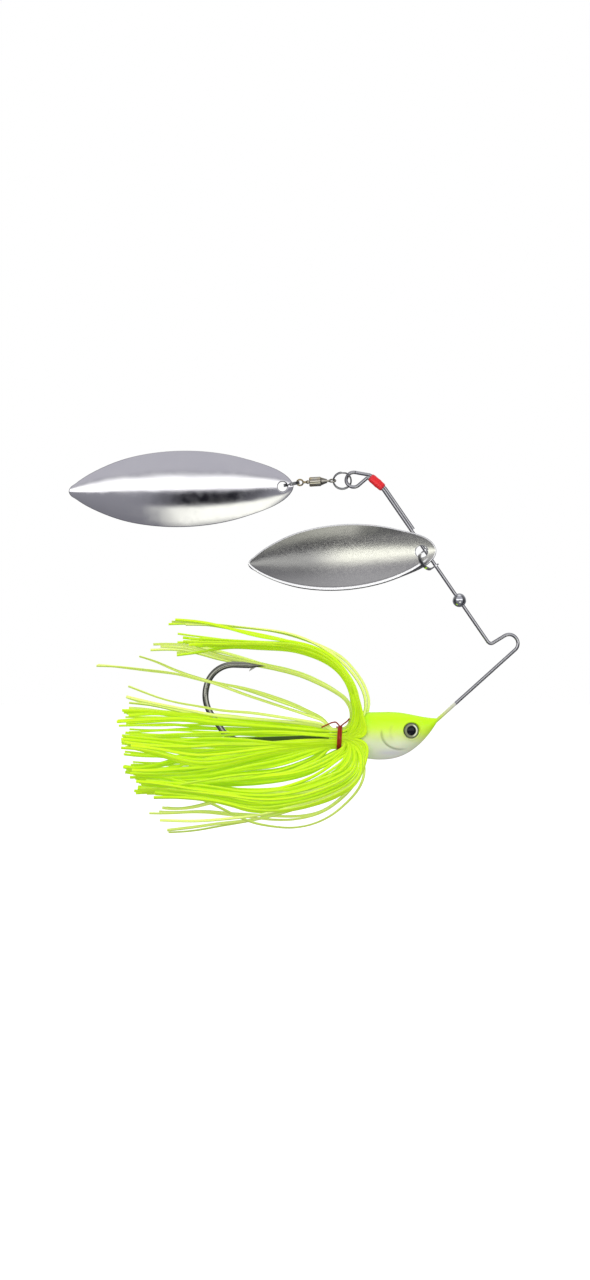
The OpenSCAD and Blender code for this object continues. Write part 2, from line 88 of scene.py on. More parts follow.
# ---------------------------------------------------------------- mesh tools
class Piece:
    """Gathers vertices (mm) and faces, with named numbers kept per vertex."""

    def __init__(self):
        self.verts, self.faces, self.marks = [], [], {}
        self.count = 0

    def add(self, verts, faces, **marks):
        self.verts.append(verts)
        self.faces += [tuple(int(i) + self.count for i in face) for face in faces]
        for name, values in marks.items():
            self.marks.setdefault(name, []).append(np.broadcast_to(values, len(verts)))
        self.count += len(verts)

    def finish(self, name, look, body, node, sharp=None, normals=None, matrix=Matrix()):
        """Makes the object that stands in for a CAD node; sharp is in degrees."""
        mesh = bpy.data.meshes.new(name)
        mesh.from_pydata((np.concatenate(self.verts) * MM).tolist(), [], self.faces)
        mesh.validate()
        for mark, values in self.marks.items():
            attribute = mesh.attributes.new(mark, "FLOAT", "POINT")
            attribute.data.foreach_set("value", np.concatenate(values).astype(np.float32))
        mesh.polygons.foreach_set("use_smooth", [True] * len(mesh.polygons))
        if sharp is not None:
            mesh.set_sharp_from_angle(angle=math.radians(sharp))
        if normals is not None:
            mesh.normals_split_custom_set_from_vertices(normals.tolist())
        mesh.update()
        made = bpy.data.objects.new(name, mesh)
        bpy.context.scene.collection.objects.link(made)
        mesh.materials.append(MATERIALS[look])
        made.matrix_world = matrix
        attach(made, body)
        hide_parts(node)
        return made


def resample(path, count):
    """Spaces count points evenly along a path."""
    travel = np.r_[0, np.cumsum(np.linalg.norm(np.diff(path, axis=0), axis=1))]
    stops = np.linspace(0, travel[-1], count)
    return np.stack([np.interp(stops, travel, column) for column in path.T], 1)


def curve(points, count):
    """Smooth curve through the points, as count points evenly spaced."""
    points = np.asarray(points, float)
    knots = np.r_[0, np.cumsum(np.sqrt(np.linalg.norm(np.diff(points, axis=0), axis=1)))]
    gaps = np.diff(knots)
    chords = np.diff(points, axis=0) / gaps[:, None]
    slopes = np.empty_like(points)
    slopes[1:-1] = gaps[1:, None] * chords[:-1] + gaps[:-1, None] * chords[1:]
    slopes[1:-1] /= (gaps[1:] + gaps[:-1])[:, None]
    slopes[0] = 1.5 * chords[0] - 0.5 * slopes[1]
    slopes[-1] = 1.5 * chords[-1] - 0.5 * slopes[-2]
    stops = np.linspace(0, knots[-1], 16 * len(points))
    i = np.clip(np.searchsorted(knots, stops, "right") - 1, 0, len(points) - 2)
    gap = gaps[i][:, None]
    x = (stops - knots[i])[:, None] / gap
    fine = ((2 * x**3 - 3 * x**2 + 1) * points[i] + (x**3 - 2 * x**2 + x) * gap * slopes[i]
            + (3 * x**2 - 2 * x**3) * points[i + 1] + (x**3 - x**2) * gap * slopes[i + 1])
    return resample(fine, count)


def tube_faces(rows, size):
    """Faces of a capped tube: rows rings of size vertices each."""
    faces = []
    for i in range(0, (rows - 1) * size, size):
        for j in range(size):
            k = (j + 1) % size
            faces.append((i + j, i + k, i + size + k, i + size + j))
    last = (rows - 1) * size
    return faces + [tuple(range(size - 1, -1, -1)), tuple(range(last, last + size))]


def sweep(path, section, up, scale=1, twist=0):
    """Carries a section of (upward, sideways) points along the path, capped at both ends."""
    ahead = np.gradient(path, axis=0)
    ahead /= np.linalg.norm(ahead, axis=1)[:, None]
    upward = np.empty_like(ahead)
    current = np.asarray(up, float)
    for i, tangent in enumerate(ahead):
        current = current - (current @ tangent) * tangent
        current /= np.linalg.norm(current)
        upward[i] = current
    sideways = np.cross(ahead, upward)
    high, wide = np.asarray(section, float).T
    scale = np.broadcast_to(scale, len(path))[:, None]
    twist = np.broadcast_to(twist, len(path))[:, None]
    raised = (high * np.cos(twist) - wide * np.sin(twist)) * scale
    shifted = (high * np.sin(twist) + wide * np.cos(twist)) * scale
    verts = path[:, None] + raised[..., None] * upward[:, None]
    verts = verts + shifted[..., None] * sideways[:, None]
    return verts.reshape(-1, 3), tube_faces(len(path), len(high))


def circle(radius, count, squash=1):
    angles = 2 * math.pi * np.arange(count) / count
    return np.stack([radius * np.cos(angles), radius * squash * np.sin(angles)], 1)


def lathe(profile, count):
    """Turns a profile of (along, radius) about x; radius 0 closes an end."""
    verts, faces, rings = [], [], []
    for along, radius in profile:
        ring = circle(radius, count if radius else 1)
        rings.append(range(len(verts), len(verts) + len(ring)))
        verts += [(along, y, z) for y, z in ring]
    for one, two in zip(rings, rings[1:]):
        for j in range(count):
            k = (j + 1) % count
            if len(one) == 1:
                faces.append((two[j], two[k], one[0]))
            elif len(two) == 1:
                faces.append((two[0], one[k], one[j]))
            else:
                faces.append((two[j], two[k], one[k], one[j]))
    return np.array(verts, float), faces


# ---------------------------------------------------------------- shader tools
def feed(socket, value):
    """Links a Value or a socket into an input, or sets a plain number or tuple."""
    if isinstance(value, Value):
        value = value.socket
    if isinstance(value, bpy.types.NodeSocket):
        socket.id_data.links.new(value, socket)
    else:
        socket.default_value = value


def add_node(tree, kind, inputs=None, **options):
    node = tree.nodes.new("ShaderNode" + kind)
    for name, option in options.items():
        setattr(node, name, option)
    for key, value in (inputs or {}).items():
        feed(node.inputs[key], value)
    return node


class Value:
    """A number in a node tree, with ordinary arithmetic."""

    def __init__(self, socket):
        self.socket = socket

    def op(self, kind, *others):
        inputs = dict(enumerate((self, *others)))
        return Value(add_node(self.socket.id_data, "Math", inputs, operation=kind).outputs[0])

    def __add__(self, other):
        return self.op("ADD", other)

    __radd__ = __add__

    def __sub__(self, other):
        return self.op("SUBTRACT", other)

    def __rsub__(self, other):
        return self * -1 + other

    def __mul__(self, other):
        return self.op("MULTIPLY", other)

    def __truediv__(self, other):
        return self.op("DIVIDE", other)

    def pow(self, other):
        return self.op("POWER", other)

    def abs(self):
        return self.op("ABSOLUTE")

    def max(self, other):
        return self.op("MAXIMUM", other)

    def min(self, other):
        return self.op("MINIMUM", other)

    def remap(self, start, end, low, high, kind="LINEAR"):
        inputs = {"Value": self, "From Min": start, "From Max": end,
                  "To Min": low, "To Max": high}
        node = add_node(self.socket.id_data, "MapRange", inputs, interpolation_type=kind)
        return Value(node.outputs["Result"])

    def step(self, off, on):
        """0 at off and 1 at on, smooth between; off may be the larger."""
        rising = off < on
        return self.remap(min(off, on), max(off, on), int(not rising), int(rising), "SMOOTHSTEP")


def mix(amount, base, over):
    """Mixes two colours: sockets, sRGB triples (0 to 255) or linear RGBA."""

    def linear(color):
        if not isinstance(color, tuple) or len(color) == 4:
            return color
        return tuple(c / 255 / 12.92 if c <= 10.3 else ((c / 255 + 0.055) / 1.055) ** 2.4
                     for c in color) + (1,)

    inputs = {0: amount, 6: linear(base), 7: linear(over)}
    return add_node(amount.socket.id_data, "Mix", inputs, data_type="RGBA").outputs[2]


class Material:
    """One procedural material; texture sizes and bump depths are in mm."""

    def __init__(self, name):
        self.material = bpy.data.materials.new(name)
        self.material.use_nodes = True
        self.tree = self.material.node_tree
        self.shader = self.tree.nodes["Principled BSDF"]
        self.place = add_node(self.tree, "TexCoord").outputs["Object"]
        self.normal = None

    def position(self, axes):
        """The asked-for object coordinates, mm."""
        split = add_node(self.tree, "SeparateXYZ", {0: self.place})
        return [Value(split.outputs[axis]) * 1000 for axis in axes]

    def mark(self, name):
        """A number kept per vertex of the mesh."""
        return Value(add_node(self.tree, "Attribute", attribute_name=name).outputs["Fac"])

    def noise(self, size, detail=3, roughness=0.55, stretch=(1, 1, 1)):
        """Noise whose features are about size mm; stretch lengthens them along an axis."""
        scale = tuple(1000.0 / size / factor for factor in stretch)
        mapping = add_node(self.tree, "Mapping", {"Scale": scale, "Vector": self.place})
        inputs = {"Scale": 1, "Detail": detail, "Roughness": roughness,
                  "Vector": mapping.outputs[0]}
        return Value(add_node(self.tree, "TexNoise", inputs).outputs[0])

    def flecks(self, base, over, off, on, amount, **noise):
        """Lays a colour over the base where the noise passes from off to on."""
        return mix(self.noise(**noise).step(off, on) * amount, base, over)

    def vary(self, low, high, **noise):
        """A number wandering between low and high."""
        return self.noise(**noise).remap(0.3, 0.7, low, high)

    def set(self, **inputs):
        sockets = {s.name.lower().replace(" ", "_"): s for s in self.shader.inputs}
        for name, value in inputs.items():
            feed(sockets[name], value)

    def bump(self, height, depth):
        """Adds relief over the relief so far; height 0..1 stands for depth mm."""
        inputs = {"Height": height, "Distance": depth * MM}
        if self.normal:
            inputs["Normal"] = self.normal
        self.normal = add_node(self.tree, "Bump", inputs).outputs[0]
        feed(self.shader.inputs["Normal"], self.normal)

    def grain(self, depth, **noise):
        self.bump(self.noise(**noise), depth)


# ---------------------------------------------------------------- materials
def wire_material():
    mat = Material("wire_steel_and_paint")
    x, z = mat.position("XZ")
    # distance from the nose along the lower arm; the head's paint runs up to 7 mm
    reach = (x - NOSE[0]) * ARM_DIR[0] + (z - NOSE[2]) * ARM_DIR[2]
    paint = (reach + mat.noise(size=0.35) * 0.5).step(off=7, on=6.7)
    steel = mix(mat.noise(size=3), (176, 176, 180), (200, 200, 202))
    steel = mat.flecks(steel, (140, 140, 142), off=0.66, on=0.8, amount=0.3, size=0.3, detail=2)
    coat = mix(reach.step(off=0.3, on=4), (198, 226, 70), (205, 210, 158))
    coat = mix(reach.step(off=3, on=6.9), coat, (206, 206, 196))
    coat = mat.flecks(coat, (168, 176, 110), off=0.35, on=0.8, amount=0.35, size=0.5)
    mat.set(base_color=mix(paint, steel, coat), metallic=1 - paint,
            roughness=mat.vary(low=0.12, high=0.2, size=0.8, detail=4) + paint * 0.24)
    mat.grain(depth=0.003, size=0.3)
    mat.bump(paint, depth=0.05)
    return mat.material


def sleeve_material():
    mat = Material("sleeve_red_shrink_tube")
    color = mix(mat.noise(size=0.9, detail=4), (214, 20, 30), (232, 36, 44))
    # deeper red where the ends are drawn tight
    color = mix(mat.mark("end") * 0.7, color, (168, 14, 44))
    color = mat.flecks(color, (180, 10, 24), off=0.6, on=0.85, amount=0.3, size=0.3, detail=2)
    mat.set(base_color=color, roughness=mat.vary(low=0.26, high=0.42, size=0.4),
            coat_weight=0.3, coat_roughness=0.2, subsurface_weight=0.12, subsurface_scale=0.0006)
    mat.grain(depth=0.05, size=0.6)
    mat.grain(depth=0.01, size=0.12, detail=2)
    return mat.material


def head_material():
    mat = Material("head_sprayed_paint")
    x, z = mat.position("XZ")
    spray = mat.noise(size=1.1, detail=4, roughness=0.6)
    fine = mat.noise(size=0.22, roughness=0.6)
    # paint bands follow height, ragged by the spray; raised at the nose to keep it green
    nose = x.step(off=-27.5, on=-20.5)
    height = z + (spray - 0.5) * 0.9 + (fine - 0.5) * 0.5 - nose * -1
    color = mix(height.step(off=-30, on=-26.2), (236, 239, 224), (222, 231, 194))
    color = mix(height.step(off=-26.6, on=-23.4), color, (215, 234, 136))
    color = mix(height.step(off=-24.4, on=-21.8), color, (206, 242, 62))
    color = mix(height.step(off=-22.4, on=-19.6), color, (194, 246, 0))
    # painted highlight: a breath of lavender pearl sheen under the cheek
    pearl_sheen = (z + 28.3).abs().step(off=1.4, on=0) * (x + 31).abs().step(off=5, on=0.5)
    color = mix(pearl_sheen * 0.5, color, (212, 206, 226))
    # painted shade: the grooves are darkened a little in the colour
    color = mix(mat.mark("groove") * 0.42, color, (128, 140, 96))
    color = mat.flecks(color, (255, 255, 240), off=0.66, on=0.82, amount=0.12, size=0.5, detail=2)
    mat.set(base_color=color, roughness=mat.vary(low=0.3, high=0.46, size=0.8),
            specular_ior_level=0.3, coat_weight=0.25, coat_roughness=0.12,
            subsurface_weight=0.06, subsurface_scale=0.0006)
    mat.bump(fine, depth=0.014)
    mat.grain(depth=0.07, size=2.2)
    return mat.material


def hook_material():
    mat = Material("hook_black_nickel")
    x, z = mat.position("XZ")
    color = mix(mat.noise(size=2.4, detail=4), (142, 143, 132), (166, 166, 154))
    color = mat.flecks(color, (84, 86, 82), off=0.62, on=0.8, amount=0.3, size=0.3)
    # the part towards the point
    point = x.step(off=-68, on=-64) * z.step(off=-12, on=-9)
    color = mix(point, color, (86, 86, 78))
    # painted shade: the low rear of the bend, deep in the skirt, is coloured a shaded dark green
    shade = z.step(off=-20.5, on=-23) * x.step(off=-74, on=-71)
    mat.set(base_color=mix(shade * 0.92, color, (58, 82, 4)), metallic=shade * -0.9 + 0.95,
            specular_ior_level=shade * -0.35 + 0.5,
            roughness=mat.vary(low=0.1, high=0.17, size=0.7, detail=4) + shade * 0.25)
    mat.grain(depth=0.003, size=0.3)
    return mat.material


def strand_material():
    mat = Material("skirt_silicone")
    lone = mat.mark("lone")
    color = mix(mat.mark("tone"), (182, 220, 8), (198, 232, 22))
    color = mat.flecks(color, (190, 228, 12), off=0.35, on=0.75, amount=0.4, size=3)
    color = mat.flecks(color, (210, 240, 60), off=0.55, on=0.8, amount=0.2, size=0.8,
                       stretch=(3, 1, 1))
    # painted light: strands seen singly are coloured pale, as if lit through
    color = mix(lone * 0.85, color, (217, 229, 134))
    # painted shade: the side edges of the strands are darkened to olive, more on single strands
    color = mix(mat.mark("edge") * (0.5 + lone * 0.35), color, (150, 172, 54))
    # painted shade: darker green near the roots, where the strands bunch under the tie
    color = mix(mat.mark("along").step(off=0.16, on=0) * 0.3, color, (140, 180, 0))
    # painted light: the strands glow a little, for the fluorescent dye and to lift the shade between
    # them
    mat.set(base_color=color, roughness=mat.vary(low=0.34, high=0.5, size=0.6),
            subsurface_weight=0.5, subsurface_radius=(0.9, 1, 0.15), subsurface_scale=0.0009,
            specular_ior_level=0.38, sheen_weight=0.06, emission_color=color,
            emission_strength=0.27)
    mat.grain(depth=0.03, size=0.35, stretch=(5, 1, 1))
    return mat.material


def tie_material():
    mat = Material("tie_lacquered_wire")
    color = mix(mat.noise(size=0.7, detail=4), (134, 28, 2), (190, 52, 6))
    color = mat.flecks(color, (70, 14, 2), off=0.6, on=0.8, amount=0.5, size=0.2, detail=2)
    mat.set(base_color=color, metallic=0.1, roughness=mat.vary(low=0.28, high=0.5, size=0.3),
            coat_weight=0.3)
    mat.grain(depth=0.02, size=0.15)
    return mat.material


def polished_material():
    mat = Material("blade_polished_nickel")
    color = mix(mat.noise(size=7), (232, 231, 236), (246, 245, 246))
    # painted shade: the rounded rim is darkened
    color = mix(mat.mark("rim") * 0.75, color, (150, 148, 156))
    color = mat.flecks(color, (170, 168, 176), off=0.68, on=0.8, amount=0.12, size=0.5)
    scratch = mat.noise(size=0.12, detail=2, stretch=(30, 1, 1)).step(off=0.66, on=0.8)
    mat.set(base_color=color, metallic=1,
            roughness=mat.vary(low=0.1, high=0.17, size=2, detail=4) + scratch * 0.06)
    # slow ripple from stamping, then faint polishing lines
    mat.grain(depth=0.11, size=9, detail=2, stretch=(1.6, 1, 1))
    mat.grain(depth=0.0012, size=0.1, detail=2, stretch=(24, 1, 1))
    return mat.material


def satin_material():
    mat = Material("blade_satin_nickel")
    x, z = mat.position("XZ")
    # along (0 at the hole, minus towards the tip) and across the blade
    cos, sin = math.cos(math.radians(FRONT_TILT)), math.sin(math.radians(FRONT_TILT))
    x = x - FRONT_HOLE[0]
    z = z - FRONT_HOLE[2]
    along = x * cos - z * sin
    across = x * sin + z * cos
    grain = mat.noise(size=0.55, detail=4, roughness=0.7)
    speck = mat.noise(size=0.16, roughness=0.7)
    color = mix((grain + speck * 0.5).step(off=0.45, on=1.05), (176, 175, 174), (206, 205, 200))
    # painted shade: darker towards the tip
    tipward = (along + (grain - 0.5) * 3).step(off=-16, on=-33)
    color = mix(tipward * (0.8 - across.step(off=0.5, on=4) * 0.2), color, (136, 136, 134))
    # painted light: lighter towards the lower edge
    color = mix(across.step(off=-2, on=-6.5) * 0.5, color, (226, 226, 220))
    # painted highlight: a warm, bright band near the hole
    warm = (across - 0.6).abs().step(off=4.4, on=0.6) * along.step(off=-30, on=-17)
    color = mix(warm * 0.85, color, (240, 240, 226))
    # painted shade: a dusky patch under the upper edge
    dusk = (across - 6.4).abs().step(off=2.4, on=0.4) * (along + 10).abs().step(off=8.5, on=3)
    color = mix(dusk * (0.3 + speck * 0.55), color, (96, 97, 98))
    # painted highlight: the turned lower edge and the rim all round are painted bright white, with a
    # painted dark line inside the edge and a dark outer edge
    half_length = FRONT_LENGTH / 2
    share = ((along + (half_length - FRONT_INSET)) / half_length).abs().min(0.999)
    inward = across + (1 - share * share).pow(0.72) * (FRONT_WIDTH / 2)
    lip = (inward - 0.62).abs().step(off=0.34, on=0.22) * along.step(off=2, on=0)
    line = (inward - 1.08).abs().step(off=0.2, on=0.08) * along.step(off=1, on=-2)
    edge = inward.step(off=0.34, on=0.24) * along.step(off=2, on=0)
    color = mix(line * 0.3, color, (90, 90, 94))
    color = mix(mat.mark("rim").max(lip), color, (252, 252, 252))
    color = mix(edge, color, (96, 96, 98))
    mat.set(base_color=color, metallic=1 - lip * 0.75,
            roughness=grain.remap(0.3, 0.7, low=0.22, high=0.33) - mat.mark("rim") * 0.12)
    mat.bump(grain, depth=0.02)
    mat.bump(speck, depth=0.009)
    mat.grain(depth=0.1, size=6, detail=2)
    return mat.material


def ring_material():
    mat = Material("ring_steel")
    color = mix(mat.noise(size=0.9, detail=4), (138, 139, 140), (186, 187, 188))
    color = mat.flecks(color, (86, 86, 84), off=0.6, on=0.8, amount=0.5, size=0.25)
    mat.set(base_color=color, metallic=1, roughness=mat.vary(low=0.1, high=0.18, size=0.4))
    mat.grain(depth=0.003, size=0.2)
    return mat.material


def swivel_material():
    mat = Material("swivel_nickel_on_brass")
    (x,) = mat.position("X")
    color = mix(mat.noise(size=1.1, detail=4), (180, 175, 160), (212, 208, 196))
    # brass shows through more towards the rear
    brass = (mat.noise(size=1.6) + (x + 49.5) * -0.055).step(off=0.42, on=0.85)
    color = mix(brass * 0.75, color, (184, 160, 96))
    color = mat.flecks(color, (96, 84, 56), off=0.62, on=0.8, amount=0.4, size=0.25)
    mat.set(base_color=color, metallic=1, roughness=mat.vary(low=0.08, high=0.18, size=0.4))
    mat.grain(depth=0.006, size=0.3, stretch=(1, 3, 3))
    return mat.material


def clevis_material():
    mat = Material("clevis_bright_nickel")
    color = mix(mat.noise(size=0.8, detail=4), (206, 206, 208), (240, 240, 240))
    color = mat.flecks(color, (140, 138, 130), off=0.62, on=0.8, amount=0.35, size=0.2)
    mat.set(base_color=color, metallic=1, roughness=mat.vary(low=0.1, high=0.18, size=0.5))
    mat.grain(depth=0.003, size=0.2)
    return mat.material


def bead_material():
    mat = Material("bead_chromed")
    color = mix(mat.noise(size=1.4, detail=4), (206, 208, 214), (238, 239, 242))
    color = mat.flecks(color, (120, 122, 130), off=0.6, on=0.8, amount=0.3, size=0.35)
    mat.set(base_color=color, metallic=1, roughness=mat.vary(low=0.05, high=0.12, size=0.6))
    mat.grain(depth=0.05, size=1.3, detail=2)
    return mat.material


def eye_material():
    mat = Material("eye_painted_disc")
    # the piece's own origin is the middle of the eye, x forwards, z outwards
    x, y = mat.position("XY")
    radius = (x * x + y * y).op("SQRT") + (mat.noise(size=0.25) - 0.5) * 0.08
    color = mix(mat.noise(size=0.5), (116, 121, 92), (142, 146, 116))
    # pale crescent on the forward side of the iris
    pale = radius.step(off=1.25, on=1.36) * radius.step(off=1.72, on=1.58) * x.step(off=0.1, on=1)
    color = mix(pale * 0.9, color, (236, 240, 214))
    # darker rim, then the dark ground of the pupil
    color = mix(radius.step(off=1.6, on=1.85), color, (84, 92, 66))
    color = mix(radius.step(off=1.9, on=2.05) * 0.6, color, (50, 58, 32))
    color = mix(radius.step(off=1.36, on=1.2), color, (30, 32, 32))
    mat.set(base_color=color, roughness=mat.vary(low=0.12, high=0.24, size=0.2, detail=2),
            specular_ior_level=0.3, coat_weight=0.3, coat_roughness=0.08)
    # fine rings, then grain
    mat.bump((radius * 14).op("SINE") * 0.5 + 0.5, depth=0.01)
    mat.grain(depth=0.006, size=0.12, detail=2)
    return mat.material


def pupil_material():
    mat = Material("pupil_gloss_black")
    mat.set(base_color=mix(mat.noise(size=0.4), (6, 7, 12), (22, 24, 34)),
            roughness=mat.vary(low=0.06, high=0.16, size=0.3),
            specular_ior_level=0.22, coat_weight=0.1, coat_roughness=0.05)
    mat.grain(depth=0.008, size=0.3, detail=2)
    return mat.material


MATERIALS = {
    "wire": wire_material(), "sleeve": sleeve_material(), "head": head_material(),
    "hook": hook_material(), "strand": strand_material(), "tie": tie_material(),
    "polished": polished_material(), "satin": satin_material(), "ring": ring_material(),
    "swivel": swivel_material(), "clevis": clevis_material(), "bead": bead_material(),
    "eye": eye_material(), "pupil": pupil_material(),
}
# CAD pieces that keep their own mesh, and their materials
KEPT = {
    "wire_form": "wire", "hook": "hook", "swivel_barrel": "swivel", "swivel_front_eye": "swivel",
    "swivel_rear_eye": "swivel", "swivel_balls": "swivel", "clevis": "clevis", "bead": "bead",
}
for node_name, look_name in KEPT.items():
    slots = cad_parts[node_name].data.materials
    if not slots:
        slots.append(MATERIALS[look_name])
    for i in range(len(slots)):
        slots[i] = MATERIALS[look_name]


# ---------------------------------------------------------------- lead head
HEAD_LEN = 20.8
HEAD_UP = 2.15  # crown above the nose
HEAD_DOWN = 10.1  # belly below the nose
HEAD_HALF = 4.3  # half width
HEAD_ROWS, HEAD_AROUND = 150, 176
EYE_AT = np.array([-25.523, 2.881, -22.613])  # left eye
EYE_YAW = math.radians(17)
# collar outline: distance behind its root, swell over COLLAR_R
COLLAR = [(-1, 0), *((along, 0) for along in np.linspace(-0.6, 1.6, 4)),
          (1.9, 0), (2.05, 0.12), (2.3, 0.2), (2.55, 0.12), (2.7, 0),
          (6.3, 0), (6.6, 0.33), (6.7, 0.35), (6.95, 0.2), (7.15, 0), (7.19, -0.12)]


def head_section(back):
    """Middle height, half height and half width, from the nose (0) to the gill edge (1)."""
    blunt = 0.62 * (1 - back) ** 2
    crown = HEAD_UP * np.sin(np.pi / 2 * np.clip(back / 0.62, 0, 1)) ** 1.6
    belly = (-HEAD_DOWN * (1 - (1 - np.clip(back / 0.75, 0, 1)) ** 2.5)
             + 0.9 * np.clip((back - 0.72) / 0.28, 0, 1) ** 2)
    flank = HEAD_HALF * (1 - (1 - np.clip(back / 0.72, 0, 1)) ** 2.2)
    closing = np.sqrt(np.clip(1 - 0.62 * ((back - 0.86) / 0.14) ** 2, 0.05, 1))
    rear = np.where(back < 0.86, 1, closing)
    top = crown + blunt
    low = belly - blunt
    return (top + low) / 2 + NOSE[2], (top - low) / 2 * rear, (flank + blunt) * rear


def eye_seat(side):
    """Middle of an eye and its outward direction; side is 1 for left, -1 for right."""
    outward = np.array([math.sin(EYE_YAW), side * math.cos(EYE_YAW), 0])
    return EYE_AT * [1, side, 1], outward


def head_relief(grid, back, half_width):
    """Outward relief of the smooth form (mm), and how deep in a groove each point lies, which sets
    the painted shade in the grooves.
    """

    def oval(middle_x, middle_z, half_x, half_z, power):
        """Distance out from an oval's middle (1 on it), and degrees round it."""
        x = grid[..., 0] - middle_x
        z = grid[..., 2] - middle_z
        return oval_norm(x / half_x, z / half_z, power), np.degrees(np.arctan2(z, x)) % 360

    side = smooth01((np.abs(grid[..., 1]) / (half_width[:, None] + 1e-6) - 0.18) / 0.3)
    # cheek plate: a raised edge with a groove outside it, from the gill round to the throat
    out, angle = oval(-27.7, -23.25, 5.3, 4.2, 2.3)
    arc = smooth01((angle - 168) / 18) * smooth01((290 - angle) / 36)
    groove = bell(out - 1.04, 0.05) * arc * side
    plate = smooth01((1.03 - out) / 0.09) * smooth01((out - 0.25) / 0.6) * arc * side
    # a second, fainter fold between cheek and eye
    out, angle = oval(-28.3, -22.9, 2.6, 2.7, 2.2)
    arc = smooth01((angle - 128) / 30) * smooth01((236 - angle) / 30)
    fold = bell(out - 1, 0.14) * arc * side
    # mould seam round the outline
    seam = bell(grid[..., 1], 0.1) * smooth01(back / 0.08)[:, None]
    relief = 0.24 * plate - 0.3 * groove + 0.10 * fold + 0.035 * seam
    return relief, np.clip(groove + 0.35 * fold, 0, 1)


def build_head():
    size = HEAD_AROUND
    back = np.linspace(0, 1, HEAD_ROWS) ** 1.35
    angles = np.linspace(0, 2 * np.pi, size, endpoint=False)
    middle, half_height, half_width = head_section(back)
    x = np.repeat((NOSE[0] - HEAD_LEN * back)[:, None], size, 1)
    y = half_width[:, None] * signed_power(np.cos(angles), 0.92)
    z = middle[:, None] + half_height[:, None] * signed_power(np.sin(angles), 0.92)
    grid = np.stack([x, y, z], 2)
    # outward normals of the smooth form
    normals = np.cross(np.roll(grid, -1, 1) - np.roll(grid, 1, 1), np.gradient(grid, axis=0))
    normals /= np.linalg.norm(normals, axis=2)[..., None] + 1e-12
    outward = np.stack([0 * x, y, z - middle[:, None]], 2)
    normals[np.sum(normals * outward, 2) < 0] *= -1
    relief, groove = head_relief(grid, back, half_width)
    grid = grid + normals * relief[..., None]
    # a flat seat with a raised lip for each eye
    for side in (-1, 1):
        seat, outward = eye_seat(side)
        offset = grid - seat
        height = offset @ outward
        radius = np.linalg.norm(offset - height[..., None] * outward, axis=2)
        near = (np.abs(height) < 2) & (radius < 3.2)
        shift = 0.17 * bell(radius - 2.36, 0.17) - height * smooth01((2.26 - radius) / 0.14)
        grid = grid + (shift * near)[..., None] * outward
    faces = [(i * size + j, (i + 1) * size + j,
              (i + 1) * size + (j + 1) % size, i * size + (j + 1) % size)
             for i in range(HEAD_ROWS - 1) for j in range(size)]
    # close the nose and the rear with fans
    ends = [[NOSE[0] + 0.18, 0, middle[0]], [NOSE[0] - HEAD_LEN, 0, middle[-1]]]
    tip = HEAD_ROWS * size
    last = tip - size
    faces += [(tip, j, (j + 1) % size) for j in range(size)]
    faces += [(tip + 1, last + (j + 1) % size, last + j) for j in range(size)]
    head = Piece()
    verts = np.concatenate([grid.reshape(-1, 3), ends])
    head.add(verts, faces, groove=np.r_[groove.reshape(-1), 0, 0])
    # collar with its two low ribs
    outline = [(along, COLLAR_R + swell) for along, swell in COLLAR]
    verts, faces = lathe([(-1, 0), *outline, (7.2, 0)], 72)
    head.add(verts * [-1, 1, -1] + [COLLAR_ROOT, 0, SHANK_Z], faces, groove=0.0)
    head.finish("head_cast", "head", "arm", "lead_head", sharp=50)


build_head()

# ---------------------------------------------------------------- sleeve
SLEEVE_FOOT = np.array([-32.65, 0, 39.9532])
SLEEVE_AHEAD = unit([-0.756995, 0, 0.653421])
SLEEVE_SIDE = np.array([0.39901, 0.727742, 0.462258])  # from one wire to the other
SLEEVE_LEN = 4.42
SLEEVE_ROWS, SLEEVE_AROUND = 64, 56


def build_sleeve():
    """Shrunk tube over the two wires: tight rounded ends, a slight swell between."""
    start = SLEEVE_FOOT + 0.36 * SLEEVE_AHEAD
    sideways = unit(SLEEVE_SIDE)
    upward = np.cross(SLEEVE_AHEAD, sideways)
    share = np.linspace(0, 1, SLEEVE_ROWS)
    angles = np.linspace(0, 2 * np.pi, SLEEVE_AROUND, endpoint=False)
    edge = np.minimum(share, 1 - share) * SLEEVE_LEN  # distance from the nearer end
    rounding = np.sqrt(1 - (1 - np.clip(edge / 0.62, 0, 1)) ** 2)
    radius = 0.55 + 0.27 * rounding + 0.07 * np.sin(np.pi * share) ** 2
    radius = (radius + 0.022 * np.sin(17 * share + 0.6) * smooth01(edge / 0.7))[:, None]
    # round each wire, drawn straight across between them with a faint waist
    flat = signed_power(np.cos(angles), 0.35) * np.linalg.norm(SLEEVE_SIDE) / 2
    across = radius * np.cos(angles) + flat
    waist = 1 - 0.07 * bell(across, 0.28) * smooth01(edge / 1.2)[:, None]
    height = radius * np.sin(angles) * waist
    middle = start + (share * SLEEVE_LEN)[:, None] * SLEEVE_AHEAD + SLEEVE_SIDE / 2
    verts = middle[:, None] + across[..., None] * sideways + height[..., None] * upward
    sleeve = Piece()
    sleeve.add(verts.reshape(-1, 3), tube_faces(SLEEVE_ROWS, SLEEVE_AROUND),
               end=np.repeat(np.clip(1 - edge / 0.8, 0, 1), SLEEVE_AROUND))
    sleeve.finish("sleeve_shrunk", "sleeve", "arm", "wire_sleeve", sharp=50)


build_sleeve()

